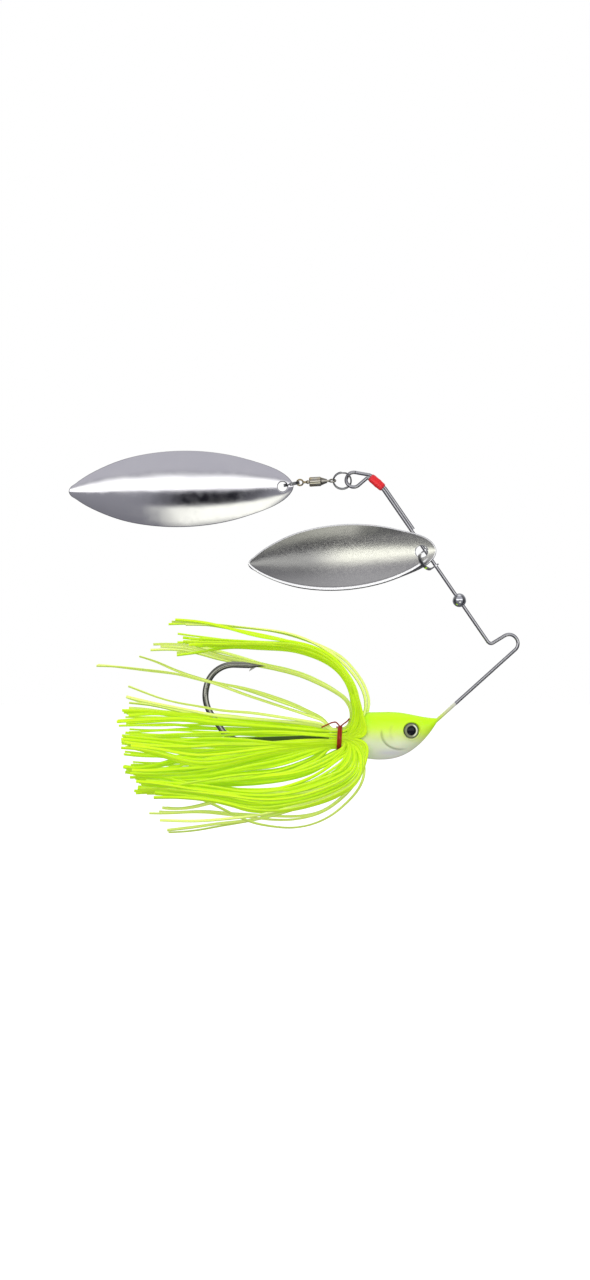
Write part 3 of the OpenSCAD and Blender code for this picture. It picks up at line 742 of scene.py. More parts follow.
# ---------------------------------------------------------------- eyes
# outlines: height over the seat, radius
EYE_DISC = [(0, 0), (0, 2.04), (0.16, 2.05), (0.27, 2), (0.33, 1.9), (0.32, 1.78),
            (0.30, 1.7), (0.31, 1.55), (0.33, 1.4), (0.345, 1.25), (0.35, 1.15),
            (0.345, 1.05), (0.34, 0.6), (0.34, 0)]
PUPIL_BASE = 0.335
PUPIL_RISE = 0.28
PUPIL = [(PUPIL_BASE, 0), (PUPIL_BASE, 1.14),
         *((PUPIL_BASE + PUPIL_RISE * math.sin(angle), 1.17 * math.cos(angle))
           for angle in np.linspace(0.05, math.pi / 2, 14)[:-1]),
         (PUPIL_BASE + PUPIL_RISE, 0)]


def build_eye(side, hand):
    seat, outward = eye_seat(side)
    ahead = np.array([math.cos(EYE_YAW), -side * math.sin(EYE_YAW), 0])
    matrix = np.eye(4)
    matrix[:3] = np.stack([ahead, np.cross(outward, ahead), outward, seat * MM], 1)
    for part, look, outline, count in (("disc", "eye", EYE_DISC, 96), ("pupil", "pupil", PUPIL, 72)):
        verts, faces = lathe(outline, count)
        piece = Piece()
        piece.add(verts[:, [1, 2, 0]], faces)
        piece.finish(f"eye_{part}_{hand}", look, "arm", f"{look}_{hand}", sharp=60,
                     matrix=Matrix(matrix.tolist()))


build_eye(1, "left")
build_eye(-1, "right")

# ---------------------------------------------------------------- blades
EDGE = 0.55 / 2  # half the blade thickness, and the radius of its rim
RIM_COUNT, HOLE_COUNT, RIM_ARCS = 420, 64, 7
GRID = 0.5  # spacing of points on the faces


class Leaf:
    """A willow leaf in plan (along, across), bent to a long camber and a dish."""

    def __init__(self, length, width, dish, camber, inset, blunt):
        self.length = length
        self.width = width
        self.blunt = blunt
        self.dish_radius = (width * width / 4 + dish * dish) / (2 * dish)
        self.camber_radius = (length**2 / 4 + camber**2) / (2 * camber)
        self.hole = length / 2 - inset
        self.drop = math.sqrt(self.camber_radius**2 - self.hole**2)

    def half_width(self, share, cut=0.0):
        """Half width from tip (-1) to hole end (1): blunt at the hole, drawn out at the tip."""
        power = (0.7 - self.blunt * smooth01((share - 0.55) / 0.42)
                 + 0.06 * smooth01((-share - 0.4) / 0.35)
                 - 0.12 * smooth01((-share - 0.93) / 0.07))
        return (self.width - 2 * cut) / 2 * np.maximum(0, 1 - share * share) ** power

    def within(self, along, across, margin):
        """Whether a point lies in the flat of the leaf, widened by margin."""
        share = along / (self.length / 2 - EDGE)
        return abs(share) < 1 and abs(across) <= self.half_width(share, EDGE) + margin

    def outline(self, cut):
        """Closed outline, cut mm inside the full one."""
        share = np.cos(np.linspace(0, np.pi, 400))
        top = np.stack([share * (self.length - 2 * cut) / 2, self.half_width(share, cut)], 1)
        loop = np.concatenate([top, top[-2:0:-1] * [1, -1], top[:1]])
        return resample(loop, RIM_COUNT + 1)[:-1]

    def rise(self, along, across):
        """Middle surface; the dish keeps its edge slope to the tips."""
        half = self.half_width(np.clip(2 * along / self.length, -1, 1))
        half = np.maximum(half, 0.12 * self.width / 2)
        tighten = (self.width / 2 / half) ** 0.85
        camber = np.sqrt(np.maximum(1, self.camber_radius**2 - along * along)) - self.drop
        return camber - tighten * across * across / (2 * self.dish_radius)

    def lift(self, points, offset):
        """Bent places of plan points, offset mm outside the middle, and the normals there."""
        along, across = points.T
        delta = 0.02
        slope_along = (self.rise(along + delta, across)
                       - self.rise(along - delta, across)) / (2 * delta)
        slope_across = (self.rise(along, across + delta)
                        - self.rise(along, across - delta)) / (2 * delta)
        normals = np.stack([-slope_along, np.ones(len(points)), -slope_across], 1)
        normals /= np.linalg.norm(normals, axis=1)[:, None]
        places = np.stack([along - self.hole, self.rise(along, across), across], 1)
        return places + normals * offset, normals


def hole_ring(leaf, radius, turn=0):
    angles = np.linspace(0, 2 * np.pi, HOLE_COUNT, endpoint=False) + turn
    return np.array([leaf.hole, 0]) + radius * np.stack([np.cos(angles), np.sin(angles)], 1)


def mesh_plan(leaf, hole_radius):
    """Flat of a leaf: points, triangles, and where each outline and hole point went."""
    inner = leaf.outline(EDGE)
    hem = hole_radius + EDGE

    def from_hole(point):
        return math.hypot(point[0] - leaf.hole, point[1])

    points = []
    for i, along in enumerate(np.arange(-leaf.length / 2, leaf.length / 2, GRID)):
        for row in np.arange(-leaf.width / 2, leaf.width / 2, GRID * 1.1):
            point = (along, row + (i % 2) * GRID * 0.55)
            if (leaf.within(*point, -0.28) and from_hole(point) >= hem + 0.22
                    and np.min(np.sum((inner - point) ** 2, 1)) >= 0.06):
                points.append(point)
    # two tidy rings of points round the hole
    for gap in (0.22, 0.48):
        points = [point for point in points if abs(from_hole(point) - (hem + gap)) > 0.16]
        points += [tuple(point) for point in hole_ring(leaf, hem + gap, turn=gap)
                   if abs(point[0]) < leaf.length / 2 - EDGE - 0.5 and leaf.within(*point, -0.28)]
    plan = np.concatenate([inner, hole_ring(leaf, hem), points])
    edges = [(i, (i + 1) % RIM_COUNT) for i in range(RIM_COUNT)]
    edges += [(RIM_COUNT + i, RIM_COUNT + (i + 1) % HOLE_COUNT) for i in range(HOLE_COUNT)]
    result = delaunay_2d_cdt([Vector(point) for point in plan], edges, [], 0, 1e-5)
    flat = np.array([tuple(point) for point in result[0]])
    triangles = []
    for face in result[2]:
        middle = flat[list(face)].mean(0)
        if len(face) == 3 and from_hole(middle) >= hem - 0.002 and leaf.within(*middle, 0.004):
            triangles.append(face)
    moved = {old: new for new, olds in enumerate(result[3]) for old in olds}
    return flat, triangles, moved


def build_blade(name, look, leaf, hole_width, hole_at, tilt, roll, mirror, body, node):
    """Two bent faces joined by half-round rims; tilt and roll are in degrees."""
    flat, triangles, moved = mesh_plan(leaf, hole_width / 2)
    verts, normals, rim, faces = [], [], [], []

    def put(places, directions, mark):
        first = sum(len(block) for block in verts)
        verts.append(places)
        normals.append(directions)
        rim.append(np.full(len(places), mark))
        return first

    starts = {}
    for side in (1, -1):
        places, directions = leaf.lift(flat, side * EDGE)
        starts[side] = put(places, directions * side, 0.0)
        faces += [tuple(starts[side] + i for i in face) for face in triangles]

    def add_rim(first, count, loop_at, outward):
        """Half-round edge; loop_at(cut) is the plan loop cut mm in from the rim."""
        rows = [[starts[1] + moved[first + i] for i in range(count)]]
        for angle in np.radians(np.linspace(90, -90, RIM_ARCS + 2)[1:-1]):
            cos, sin = math.cos(angle), math.sin(angle)
            places, upward = leaf.lift(loop_at(EDGE * (1 - cos)), EDGE * sin)
            away = np.cross(upward, np.roll(places, -1, 0) - np.roll(places, 1, 0))
            away *= outward / np.linalg.norm(away, axis=1)[:, None]
            start = put(places, cos * away + sin * upward, 1.0)
            rows.append(range(start, start + count))
        rows.append([starts[-1] + moved[first + i] for i in range(count)])
        for one, two in zip(rows, rows[1:]):
            for i in range(count):
                j = (i + 1) % count
                faces.append((one[i], one[j], two[j], two[i]))

    add_rim(0, RIM_COUNT, leaf.outline, 1)
    add_rim(RIM_COUNT, HOLE_COUNT, lambda cut: hole_ring(leaf, hole_width / 2 + cut), -1)
    flip = [1, -1 if mirror else 1, 1]
    cos, sin = math.cos(math.radians(tilt)), math.sin(math.radians(tilt))
    turn = np.array([[cos, 0, sin], [0, 1, 0], [-sin, 0, cos]])
    cos, sin = math.cos(math.radians(-roll)), math.sin(math.radians(-roll))
    turn = np.array([[1, 0, 0], [0, cos, -sin], [0, sin, cos]]) @ turn
    verts = (np.concatenate(verts) * flip) @ turn.T + hole_at
    normals = (np.concatenate(normals) * flip) @ turn.T
    # wind each face to agree with its normals
    wound = []
    for face in faces:
        corners = verts[list(face)]
        facing = np.cross(corners[1] - corners[0], corners[2] - corners[0])
        agrees = facing @ normals[list(face)].mean(0) >= 0
        wound.append(face if agrees else face[::-1])
    blade = Piece()
    blade.add(verts, wound, rim=np.concatenate(rim))
    blade.finish(name, look, body, node, normals=normals)


build_blade("blade_rear_willow", "polished",
            Leaf(length=58.5, width=19.8, dish=2.4, camber=2.4, inset=2.9, blunt=0.11),
            hole_width=2.5, hole_at=REAR_HOLE, tilt=-1.3, roll=0, mirror=True,
            body="rear_blade", node="rear_blade")
build_blade("blade_front_willow", "satin",
            Leaf(length=FRONT_LENGTH, width=FRONT_WIDTH, dish=2, camber=2,
                 inset=FRONT_INSET, blunt=0.17),
            hole_width=3.1, hole_at=FRONT_HOLE, tilt=FRONT_TILT, roll=5, mirror=False,
            body="front_blade", node="front_blade")


# ---------------------------------------------------------------- split rings
def build_ring(name, middle, ahead, axis, radius, wire, start, node):
    """Two turns of one wire, stepping over from one side to the other."""
    ahead = unit(ahead)
    axis = unit(axis)
    degrees = np.linspace(24, 696, 300)
    crossing = -np.cos(np.pi * (degrees - 338) / 44)
    side = np.where(degrees < 338, -1, np.where(degrees > 382, 1, crossing))
    angles = np.radians(degrees) + math.radians(start)
    path = (middle + radius * np.cos(angles)[:, None] * ahead
            + radius * np.sin(angles)[:, None] * np.cross(axis, ahead)
            + (side * wire * 0.475)[:, None] * axis)
    taper = np.ones(len(path))
    taper[:2] = 0.8, 0.95
    taper[-2:] = 0.95, 0.8
    ring = Piece()
    ring.add(*sweep(path, circle(wire / 2, 14, squash=0.94), up=axis, scale=taper))
    ring.finish(name, "ring", node, node, sharp=60)


build_ring("ring_split_front", middle=[-43.358, 0.364, 42.312], ahead=[1, 0, 0],
           axis=[0, 0.9063, 0.4226], radius=2.3, wire=0.45, start=-70, node="loop_ring")
build_ring("ring_split_rear", middle=[-56.508, 0.364, 41.459], ahead=[-0.9816, 0, -0.1908],
           axis=[-0.1908, 0, 0.9816], radius=2, wire=0.4, start=70, node="blade_ring")

# ---------------------------------------------------------------- hook's middle line
# (x, z) only; the strands part round it
POINT_DIR = unit([1, -0.02])
POINT_END = np.array([-62.223, -5.743])
# corner, bend radius (unused at the ends)
HOOK_CORNERS = [((-31.473, SHANK_Z), 0), ((-50.023, -24.693), 60), ((-72.623, -25.443), 6.5),
                ((-79.523, -15.343), 9), (POINT_END - 15.2 * POINT_DIR + [0, 0.1], 7.2),
                (POINT_END, 0)]


def rounded_line(corners):
    """Straight runs between the corners, with an arc at each inner one."""
    places = [np.asarray(place, float) for place, _ in corners]
    line = [places[0]]
    for i in range(1, len(places) - 1):
        before, after = unit(places[i] - places[i - 1]), unit(places[i + 1] - places[i])
        bend = math.acos(before @ after)
        radius = corners[i][1]
        inward = unit(after - (before @ after) * before)
        centre = places[i] - radius * math.tan(bend / 2) * before + radius * inward
        for angle in np.linspace(0, bend, 14):
            line.append(centre + radius * (-math.cos(angle) * inward + math.sin(angle) * before))
    return np.array(line + [places[-1]])


HOOK = resample(rounded_line(HOOK_CORNERS), 500)

# ---------------------------------------------------------------- skirt
# Lines the strands follow seen from the side, from the tie outwards: x, z, x, z, ... in mm.
LINES = {
    "up_top": [
        -38.7, -20.4, -37.2, -17.6, -37.4, -14.5, -38.5, -11.1, -40.4, -8.2, -43.2, -5, -46.8, -2.2,
        -53, 0.9, -59.8, 3, -68.4, 4.3, -78.5, 5.3, -89.7, 5.6],
    "up_outer": [
        -38, -20.4, -36.5, -17.6, -36.4, -14.7, -37.4, -11.3, -39.5, -8, -42.1, -4.8, -45.8, -2.2,
        -52.3, 0.9, -59.3, 3, -67.3, 4.1, -76.7, 4.5, -86.1, 4.8],
    "up_band": [
        -40.6, -19.6, -40.4, -16.5, -40.6, -12.9, -41.9, -9.3, -44.2, -5.9, -46.8, -3.5,
        -51.5, -1.2, -57.2, -0.2, -64.5, 0.2, -71, 0.6, -78.5, 1.4, -87.9, 2.4],
    "up_low": [
        -40.9, -18.9, -40.8, -15.8, -41.3, -12.6, -43.2, -8.7, -46.5, -5.6, -50.7, -3.5,
        -57.2, -1.5, -64.5, -0.9, -72, -0.9, -76.7, -1.5, -80.3, -2.2, -86.3, -3],
    "up_hook": [
        -40.8, -19.2, -40.8, -17.1, -41.9, -15.2, -44.6, -12.9, -48.9, -10.6, -53.8, -8.5,
        -59.8, -6.7, -66.8, -5.1, -73.8, -3.7, -80.3, -2, -85, -1.2, -93.3, -1.2],
    "lone_a": [
        -46.5, -20.9, -53, -18.4, -59.8, -16.3, -66.8, -13.8, -73.8, -11.1, -79.4, -9.2,
        -86.3, -7.2, -92.4, -4.7, -98.3, -2.7],
    "lone_b": [
        -46.4, -20.8, -50.7, -18.3, -56.2, -15.7, -63.7, -13.1, -71, -11.1, -79.3, -9.4,
        -86.8, -7.8, -97, -6.7, -107.1, -5.9],
    "lone_c": [
        -48.4, -21, -55.4, -19.7, -64.5, -18.4, -73.8, -17.6, -80.3, -16.3, -86.3, -15,
        -92.4, -13.3, -98.7, -11.2],
    "lone_d": [
        -50.7, -21, -59.8, -20.2, -69.2, -19.3, -78.5, -18.4, -85.5, -17.3, -92.4, -15.7,
        -99.3, -13.9],
    "rear_1": [-54.3, -21.3, -64.5, -20.2, -76.7, -19, -85.5, -18, -92.6, -17.3, -101.1, -17.3],
    "rear_2": [-54.3, -22.6, -64.5, -21.7, -75.1, -20.9, -85.5, -20.4, -93.3, -20.7, -101.9, -21],
    "rear_3": [-54.3, -25.4, -64.5, -26.2, -73.8, -26.5, -82.9, -26.7, -92, -26.2, -100.4, -25.4],
    "rear_4": [-54.3, -27.2, -64.5, -29.3, -73.8, -31.4, -84.2, -32.9, -93.3, -33.2, -100.1, -32.7],
    "rear_5": [
        -49.1, -30, -54.3, -32.6, -59.8, -34.2, -65.5, -34.6, -72, -35.3, -80.3, -37,
        -90.7, -38.4, -96.7, -38.6],
    "mid_a": [
        -47.6, -23.9, -54.3, -23.4, -64.5, -23, -75, -23.4, -85.5, -24, -93.3, -24.2, -101, -23.6],
    "mid_b": [
        -47.6, -25.4, -54.3, -26, -62, -26, -70, -25.3, -78, -24.9, -88, -25.4, -99.5, -25],
    "near_up_a": [
        -41, -23.6, -39.7, -22.3, -39.2, -20, -39.4, -17, -40, -13.6, -41.3, -10, -43.7, -6.6,
        -46.6, -4, -51.5, -1.6, -57.2, -0.5, -64.5, 0, -71, 0.3, -78.5, 0.8, -86, 1.4],
    "near_up_b": [
        -41.6, -22.6, -40.7, -21, -40.4, -18.9, -40.6, -16.2, -41.2, -12.9, -42.8, -9.2,
        -45.6, -6, -49.6, -3.6, -57.2, -1.3, -64.5, -0.7, -72, -0.5, -78.5, -0.8, -84, -1.6],
    "near_dn_a": [
        -41, -25.6, -39.4, -26.8, -38.5, -29.2, -38.8, -32.4, -41.2, -35.8, -46.2, -38.8,
        -53, -41.2, -59.8, -42.4, -66.8, -42, -73.8, -40.6, -81.6, -39.4, -89.4, -38.8, -95, -38.4],
    "near_dn_b": [
        -41.6, -26, -41.3, -27.6, -42.6, -29.8, -45.8, -32.4, -49.7, -34.9, -54.3, -37,
        -59.8, -38.3, -65.5, -38.7, -72, -38, -80.3, -36.8, -89.4, -35.6, -97, -35],
    "near_up_c": [
        -41.4, -24.4, -39.9, -23.9, -38.8, -22.4, -38.6, -20, -39.1, -17, -39.8, -13.6, -41.2, -10,
        -43.6, -6.5, -46.6, -3.9, -51.5, -1.5, -57.2, -0.4, -64.5, 0.2, -71, 0.6, -80.5, 1.2],
    "near_dn_c": [
        -41.4, -24.9, -39.8, -25.3, -38.4, -26.8, -37.8, -29.4, -38.1, -32.8, -40.3, -36.4,
        -45.2, -39.7, -53, -42.3, -59.8, -43.6, -66.8, -43.2, -73, -41.6, -80, -40.2, -88, -39.4],
    "cross_dn": [
        -42.9, -27.4, -44.2, -29.3, -47.9, -31.6, -53, -33.4, -58.2, -34.3, -65.5, -34.8,
        -72, -35.4, -80.3, -36.2, -88.1, -36.2, -95.3, -36],
    "cross_up": [
        -43, -27, -45.2, -28.1, -48.8, -30.1, -53.3, -32.2, -58.5, -33.6, -65.5, -34.2,
        -72, -34.6, -80.3, -35.2, -88, -35.4, -96, -35.2],
    "wall_up": [
        -41.4, -24.6, -39.8, -24.7, -38.3, -24.8, -37.3, -24, -37.4, -21.6, -38.4, -18,
        -39.2, -14.6, -40.8, -10.7, -43.4, -7, -46.7, -4.2, -51.5, -1.7, -57.2, -0.6,
        -64.5, -0.1, -73, 0.2, -80, 0.7],
    "wall_dn": [
        -41.4, -24.7, -39.8, -24.6, -38.2, -24.4, -37.2, -25.4, -37.1, -28.4, -38, -32.6,
        -40.3, -36.4, -45.2, -39.7, -53, -42, -59.8, -43.2, -66.8, -42.6, -73, -41, -80, -39.6,
        -90, -38.6],
    "slit_top": [
        -41.6, -27.5, -43.2, -28.4, -45.6, -29.9, -48.2, -31.7, -51.2, -33.3, -56.5, -34.9,
        -61.5, -35.7, -68, -36.2, -76, -36.2, -84, -35.2, -93, -33.9],
    "slit_a": [
        -41.2, -27.7, -42.8, -28.9, -45.2, -30.6, -48, -32.7, -51.2, -34.6, -56.5, -36.7,
        -61.5, -37.9, -68, -38, -76, -37.3, -84, -36.2, -94, -35.2],
    "near_mid": [
        -41.4, -24.7, -39.9, -24.7, -38.6, -24, -38, -22.2, -38.3, -19.6, -39, -16.5,
        -39.8, -13.4, -41.3, -9.8, -43.8, -6.4, -46.9, -3.9, -51.5, -1.6, -57.2, -0.6,
        -64.5, -0.2, -73, 0, -81.5, 0.2],
    "down_in": [
        -40.6, -28.1, -40.3, -29.8, -42.4, -32.1, -46.5, -34, -54.3, -36.9, -59.8, -38.1,
        -65.5, -38.5, -72, -37.8, -80.3, -36.6, -89.4, -34.7, -98.5, -33.7],
    "down_mid": [
        -40.1, -28, -39, -30.3, -40.8, -34.2, -46, -37.3, -53, -39.9, -59.8, -41, -66.8, -41,
        -73.8, -39.7, -81.6, -38.6, -89.4, -38.1, -95.9, -37.9],
    "down_out": [
        -39.5, -28.5, -38.1, -31.6, -39.5, -36, -45.2, -39.7, -53, -42.3, -59.8, -43.8,
        -66.8, -43.8, -72.5, -41.8, -79, -40.5, -85.5, -39.9, -92, -39.7],
    "loop_a": [
        -39.3, -28, -37.7, -30.8, -38, -35.2, -40, -38.9, -43.7, -42.5, -48.4, -45.9, -55.4, -47.5,
        -62.1, -47, -68.4, -45.7, -73.8, -43.1, -79.8, -40.5, -85.5, -38.9, -90.7, -37.9],
    "loop_b": [
        -39.5, -28.2, -38.5, -30.8, -39, -34.2, -41.3, -37.9, -44.5, -41, -48.4, -43.6, -53, -44.9,
        -59.8, -45.4, -66.8, -44.9, -73.8, -44.4, -80.3, -43.8, -86.8, -44.1, -93.3, -43.8],
    "tip_a": [
        -40, -28.2, -39.3, -30.3, -41.3, -34, -47.1, -37.1, -54.3, -38.6, -62.1, -38.6,
        -69.9, -39.9, -76.2, -41.2, -80.3, -42.3, -85.5, -43.1, -91, -42.5],
    "tip_b": [
        -39.8, -28.4, -38.7, -30.8, -40.3, -35.3, -45.5, -38.9, -53, -41.5, -56.9, -42.3,
        -64.5, -44, -73.8, -45.1, -83.2, -45.9, -90.5, -45.9],
    "tip_c": [
        -39.5, -28.5, -38.2, -31.1, -39.8, -35.8, -45.5, -39.7, -53, -42.3, -59.8, -44.1,
        -66.8, -46, -76.2, -47.3, -83.2, -48.4, -89.7, -49],
}
# Families of strands. Columns: line a, line b, how many, range of the share of the way from
# a to b at mid length and at the tip, depth (y) range of the arch and of the tips, side slip.
FORWARD = [
    ("up_top", "up_top", 1, (0, 0), (0, 0), (-2.6, -2.6), (-1.4, -1.4), 0),
    ("up_outer", "up_outer", 1, (0, 0), (0, 0), (2.4, 2.4), (2, 2), 0),
    ("up_band", "up_top", 2, (0.25, 0.5), (1, 1), (-5.5, 6.2), (-4.5, 6), 0.25),
    ("near_up_a", "near_up_b", 3, (0, 1), (0, 0.9), (-6.2, -4.9), (-7, -2.5), 0.2),
    ("near_up_c", "near_up_b", 4, (0, 0.6), (0, 0.5), (-5, -3.9), (-6, -2.5), 0.15),
    ("near_up_c", "near_up_b", 3, (0, 0.8), (0, 0.5), (3.9, 6.2), (3, 8), 0.15),
    ("near_dn_c", "near_dn_a", 5, (0, 1), (0, 1), (-5.4, -3.9), (-8, -2.5), 0.15),
    ("near_dn_c", "near_dn_a", 4, (0, 1), (0, 1), (3.9, 7), (3, 9), 0.15),
    ("near_up_a", "near_up_b", 4, (0, 1), (0, 0.9), (4.9, 7.4), (3, 9), 0.2),
    ("near_dn_a", "near_dn_b", 9, (0, 1), (0, 1), (-6.8, -4.4), (-9, -3), 0.2),
    ("near_dn_a", "near_dn_b", 6, (0, 1), (0, 1), (5, 8.4), (3, 10), 0.2),
    ("cross_up", "cross_dn", 6, (0, 1), (0, 1), (-4.4, -3), (-8, -3), 0.3),
    ("cross_up", "cross_dn", 3, (0, 1), (0, 1), (3, 4.6), (3, 8), 0.3),
    ("near_mid", "near_mid", 3, (0, 0), (0, 0), (-4.6, -3.9), (-5, -2.5), 0.35),
    ("wall_up", "near_up_c", 5, (0, 0.9), (0, 0.8), (-4.7, -4.2), (-5.5, -2.5), 0.15),
    ("wall_dn", "near_dn_c", 6, (0, 0.9), (0, 0.8), (-4.7, -4.2), (-7, -2.5), 0.15),
    ("wall_dn", "near_dn_c", 4, (0, 0.9), (0, 0.8), (4.2, 4.8), (2.5, 7), 0.15),
    ("wall_up", "near_up_c", 4, (0, 0.9), (0, 0.8), (4.2, 4.8), (2.5, 6), 0.15),
    ("slit_top", "slit_top", 3, (0, 0), (0, 0), (-3.4, -2), (-4.5, -1), 0.2),
    ("slit_a", "slit_a", 4, (0, 0), (0, 0), (-4.2, -2.4), (-5.5, -1), 0.25),
    ("slit_top", "slit_a", 3, (0, 0.3), (0, 0.5), (2.4, 4.2), (1, 5.5), 0.25),
    ("cross_dn", "cross_dn", 3, (0, 0), (0, 0), (3.4, 5.6), (3, 8), 0.9),
    ("up_band", "up_low", 3, (0, 0.5), (0, 0.4), (-3.5, 3.5), (-5, 5), 0.15),
    ("up_band", "up_low", 2, (0.1, 1), (0.2, 1), (-7.5, -4.6), (-9, -3), 0.2),
    ("up_low", "up_band", 3, (0, 0.8), (0, 0.7), (4.6, 8.5), (4, 11), 0.2),
    ("up_hook", "up_hook", 3, (0, 0), (0, 0), (-6, 6.5), (-2.6, 2.4), 0.5),
    ("up_hook", "up_low", 2, (0, 0.12), (0.3, 0.7), (5, 7), (3, 7), 0.3),
    ("down_in", "down_mid", 9, (0, 1), (0, 0.9), (-9.5, -5), (-8.5, -1), 0.25),
    ("down_in", "down_mid", 8, (0.05, 1), (0.1, 1), (5, 10), (1, 9.5), 0.25),
    ("down_mid", "down_out", 9, (0, 1), (0, 1), (-11.5, 1), (-9, 0), 0.25),
    ("down_mid", "down_out", 7, (0, 1), (0, 1), (1.5, 12), (0, 10), 0.25),
    ("down_mid", "down_out", 6, (0, 0.9), (0, 1), (-3.2, -0.4), (-4, 1), 0.25),
    ("down_in", "down_mid", 6, (0.2, 0.9), (0.1, 1), (0.4, 3.2), (-1, 4), 0.25),
    ("loop_a", "loop_a", 1, (0, 0), (0, 0), (-6.2, -6.2), (-4, -4), 0),
    ("loop_b", "loop_b", 1, (0, 0), (0, 0), (-7.4, -7.4), (-7, -7), 0),
    ("loop_b", "loop_a", 1, (0.05, 0.05), (0, 0), (6, 6), (9, 9), 0),
    ("tip_a", "tip_a", 2, (0, 0), (0, 0), (-8.5, 7), (-6, 8), 0.3),
    ("tip_b", "tip_b", 1, (0, 0), (0, 0), (-8.8, -8.8), (-9, -9), 0),
    ("tip_c", "tip_c", 2, (0, 0), (0, 0), (-5.4, 7.5), (-4, 5), 0.3),
]
REARWARD = [
    ("lone_a", "lone_a", 1, (0, 0), (0, 0), (-4, -4), (-6, -6), 0),
    ("lone_b", "lone_b", 1, (0, 0), (0, 0), (-3, -3), (-3.2, -3.2), 0),
    ("lone_b", "lone_a", 1, (0.35, 0.35), (0, 0), (4, 4), (5.5, 5.5), 0),
    ("lone_c", "lone_c", 1, (0, 0), (0, 0), (-4.2, -4.2), (-7, -7), 0),
    ("lone_d", "lone_d", 2, (0, 0), (0, 0), (-4.6, 4.6), (-8, 7), 0.2),
    ("lone_d", "rear_1", 2, (0.3, 0.7), (0.5, 0.85), (-4, 5), (-6, 8.5), 0.2),
    ("rear_1", "rear_2", 5, (0, 1), (0, 1), (-5.4, -2.2), (-9, -2), 0.35),
    ("rear_1", "rear_2", 6, (0, 1), (0, 0.9), (1.6, 5.8), (1, 10), 0.35),
    ("rear_2", "rear_3", 9, (0.05, 0.95), (0.05, 1), (2.2, 6.5), (1.5, 11), 0.35),
    ("rear_2", "rear_3", 4, (0.94, 1), (0.62, 1), (-6.4, -2.6), (-10.5, -3), 0.3),
    ("mid_a", "mid_a", 2, (0, 0), (0, 0), (-3.6, -2.8), (-5, -3), 0.35),
    ("mid_b", "mid_b", 3, (0, 0), (0, 0), (-4, -2.8), (-6, -3), 0.4),
    ("rear_3", "rear_4", 9, (0, 1), (0, 0.2), (-7, -3), (-11.5, -3.5), 0.35),
    ("rear_3", "rear_4", 7, (0.2, 1), (0.82, 1), (-6, 0), (-9.5, 1), 0.35),
    ("rear_3", "rear_4", 10, (0, 1), (0, 1), (0.5, 7), (0.5, 11.5), 0.35),
    ("rear_4", "rear_5", 9, (0, 1), (0, 1), (-6.8, 0), (-10, 0), 0.35),
    ("rear_4", "rear_5", 8, (0, 1), (0, 1), (0.5, 6.8), (0, 10), 0.35),
]
# roots under the tie: x, then factors on the root's y and its height over the shank
FORWARD_ROOTS = [(-44.5, 1, 1), (-43.1, 1, 1), (-42.2, 1.06, 1.15)]
REARWARD_ROOTS = [(-43.5, 1, 1), (-44.9, 1, 1), (-46.3, 1.03, 1.02)]
SINGLE = ("lone", "loop", "tip_", "up_outer", "up_hook", "up_top")  # lines seen apart
LINE_POINTS, STRAND_POINTS = 40, 72
STRAND_W, STRAND_T, STRAND_BEVEL = 0.70, 0.48, 0.09
TURN = 6.28  # about a full turn, for the waves


def strand_section():
    wide, thick = STRAND_W / 2, STRAND_T / 2
    half = np.array([(wide, thick - STRAND_BEVEL), (wide - STRAND_BEVEL, thick),
                     (0, thick * 1.02),
                     (-wide + STRAND_BEVEL, thick), (-wide, thick - STRAND_BEVEL)])
    return np.concatenate([half, -half])


SECTION = strand_section()
SECTION_EDGE = (np.abs(np.abs(SECTION[:, 0]) - STRAND_W / 2) < 1e-6).astype(float)
CURVES = {name: curve(np.reshape(line, (-1, 2)), LINE_POINTS) for name, line in LINES.items()}


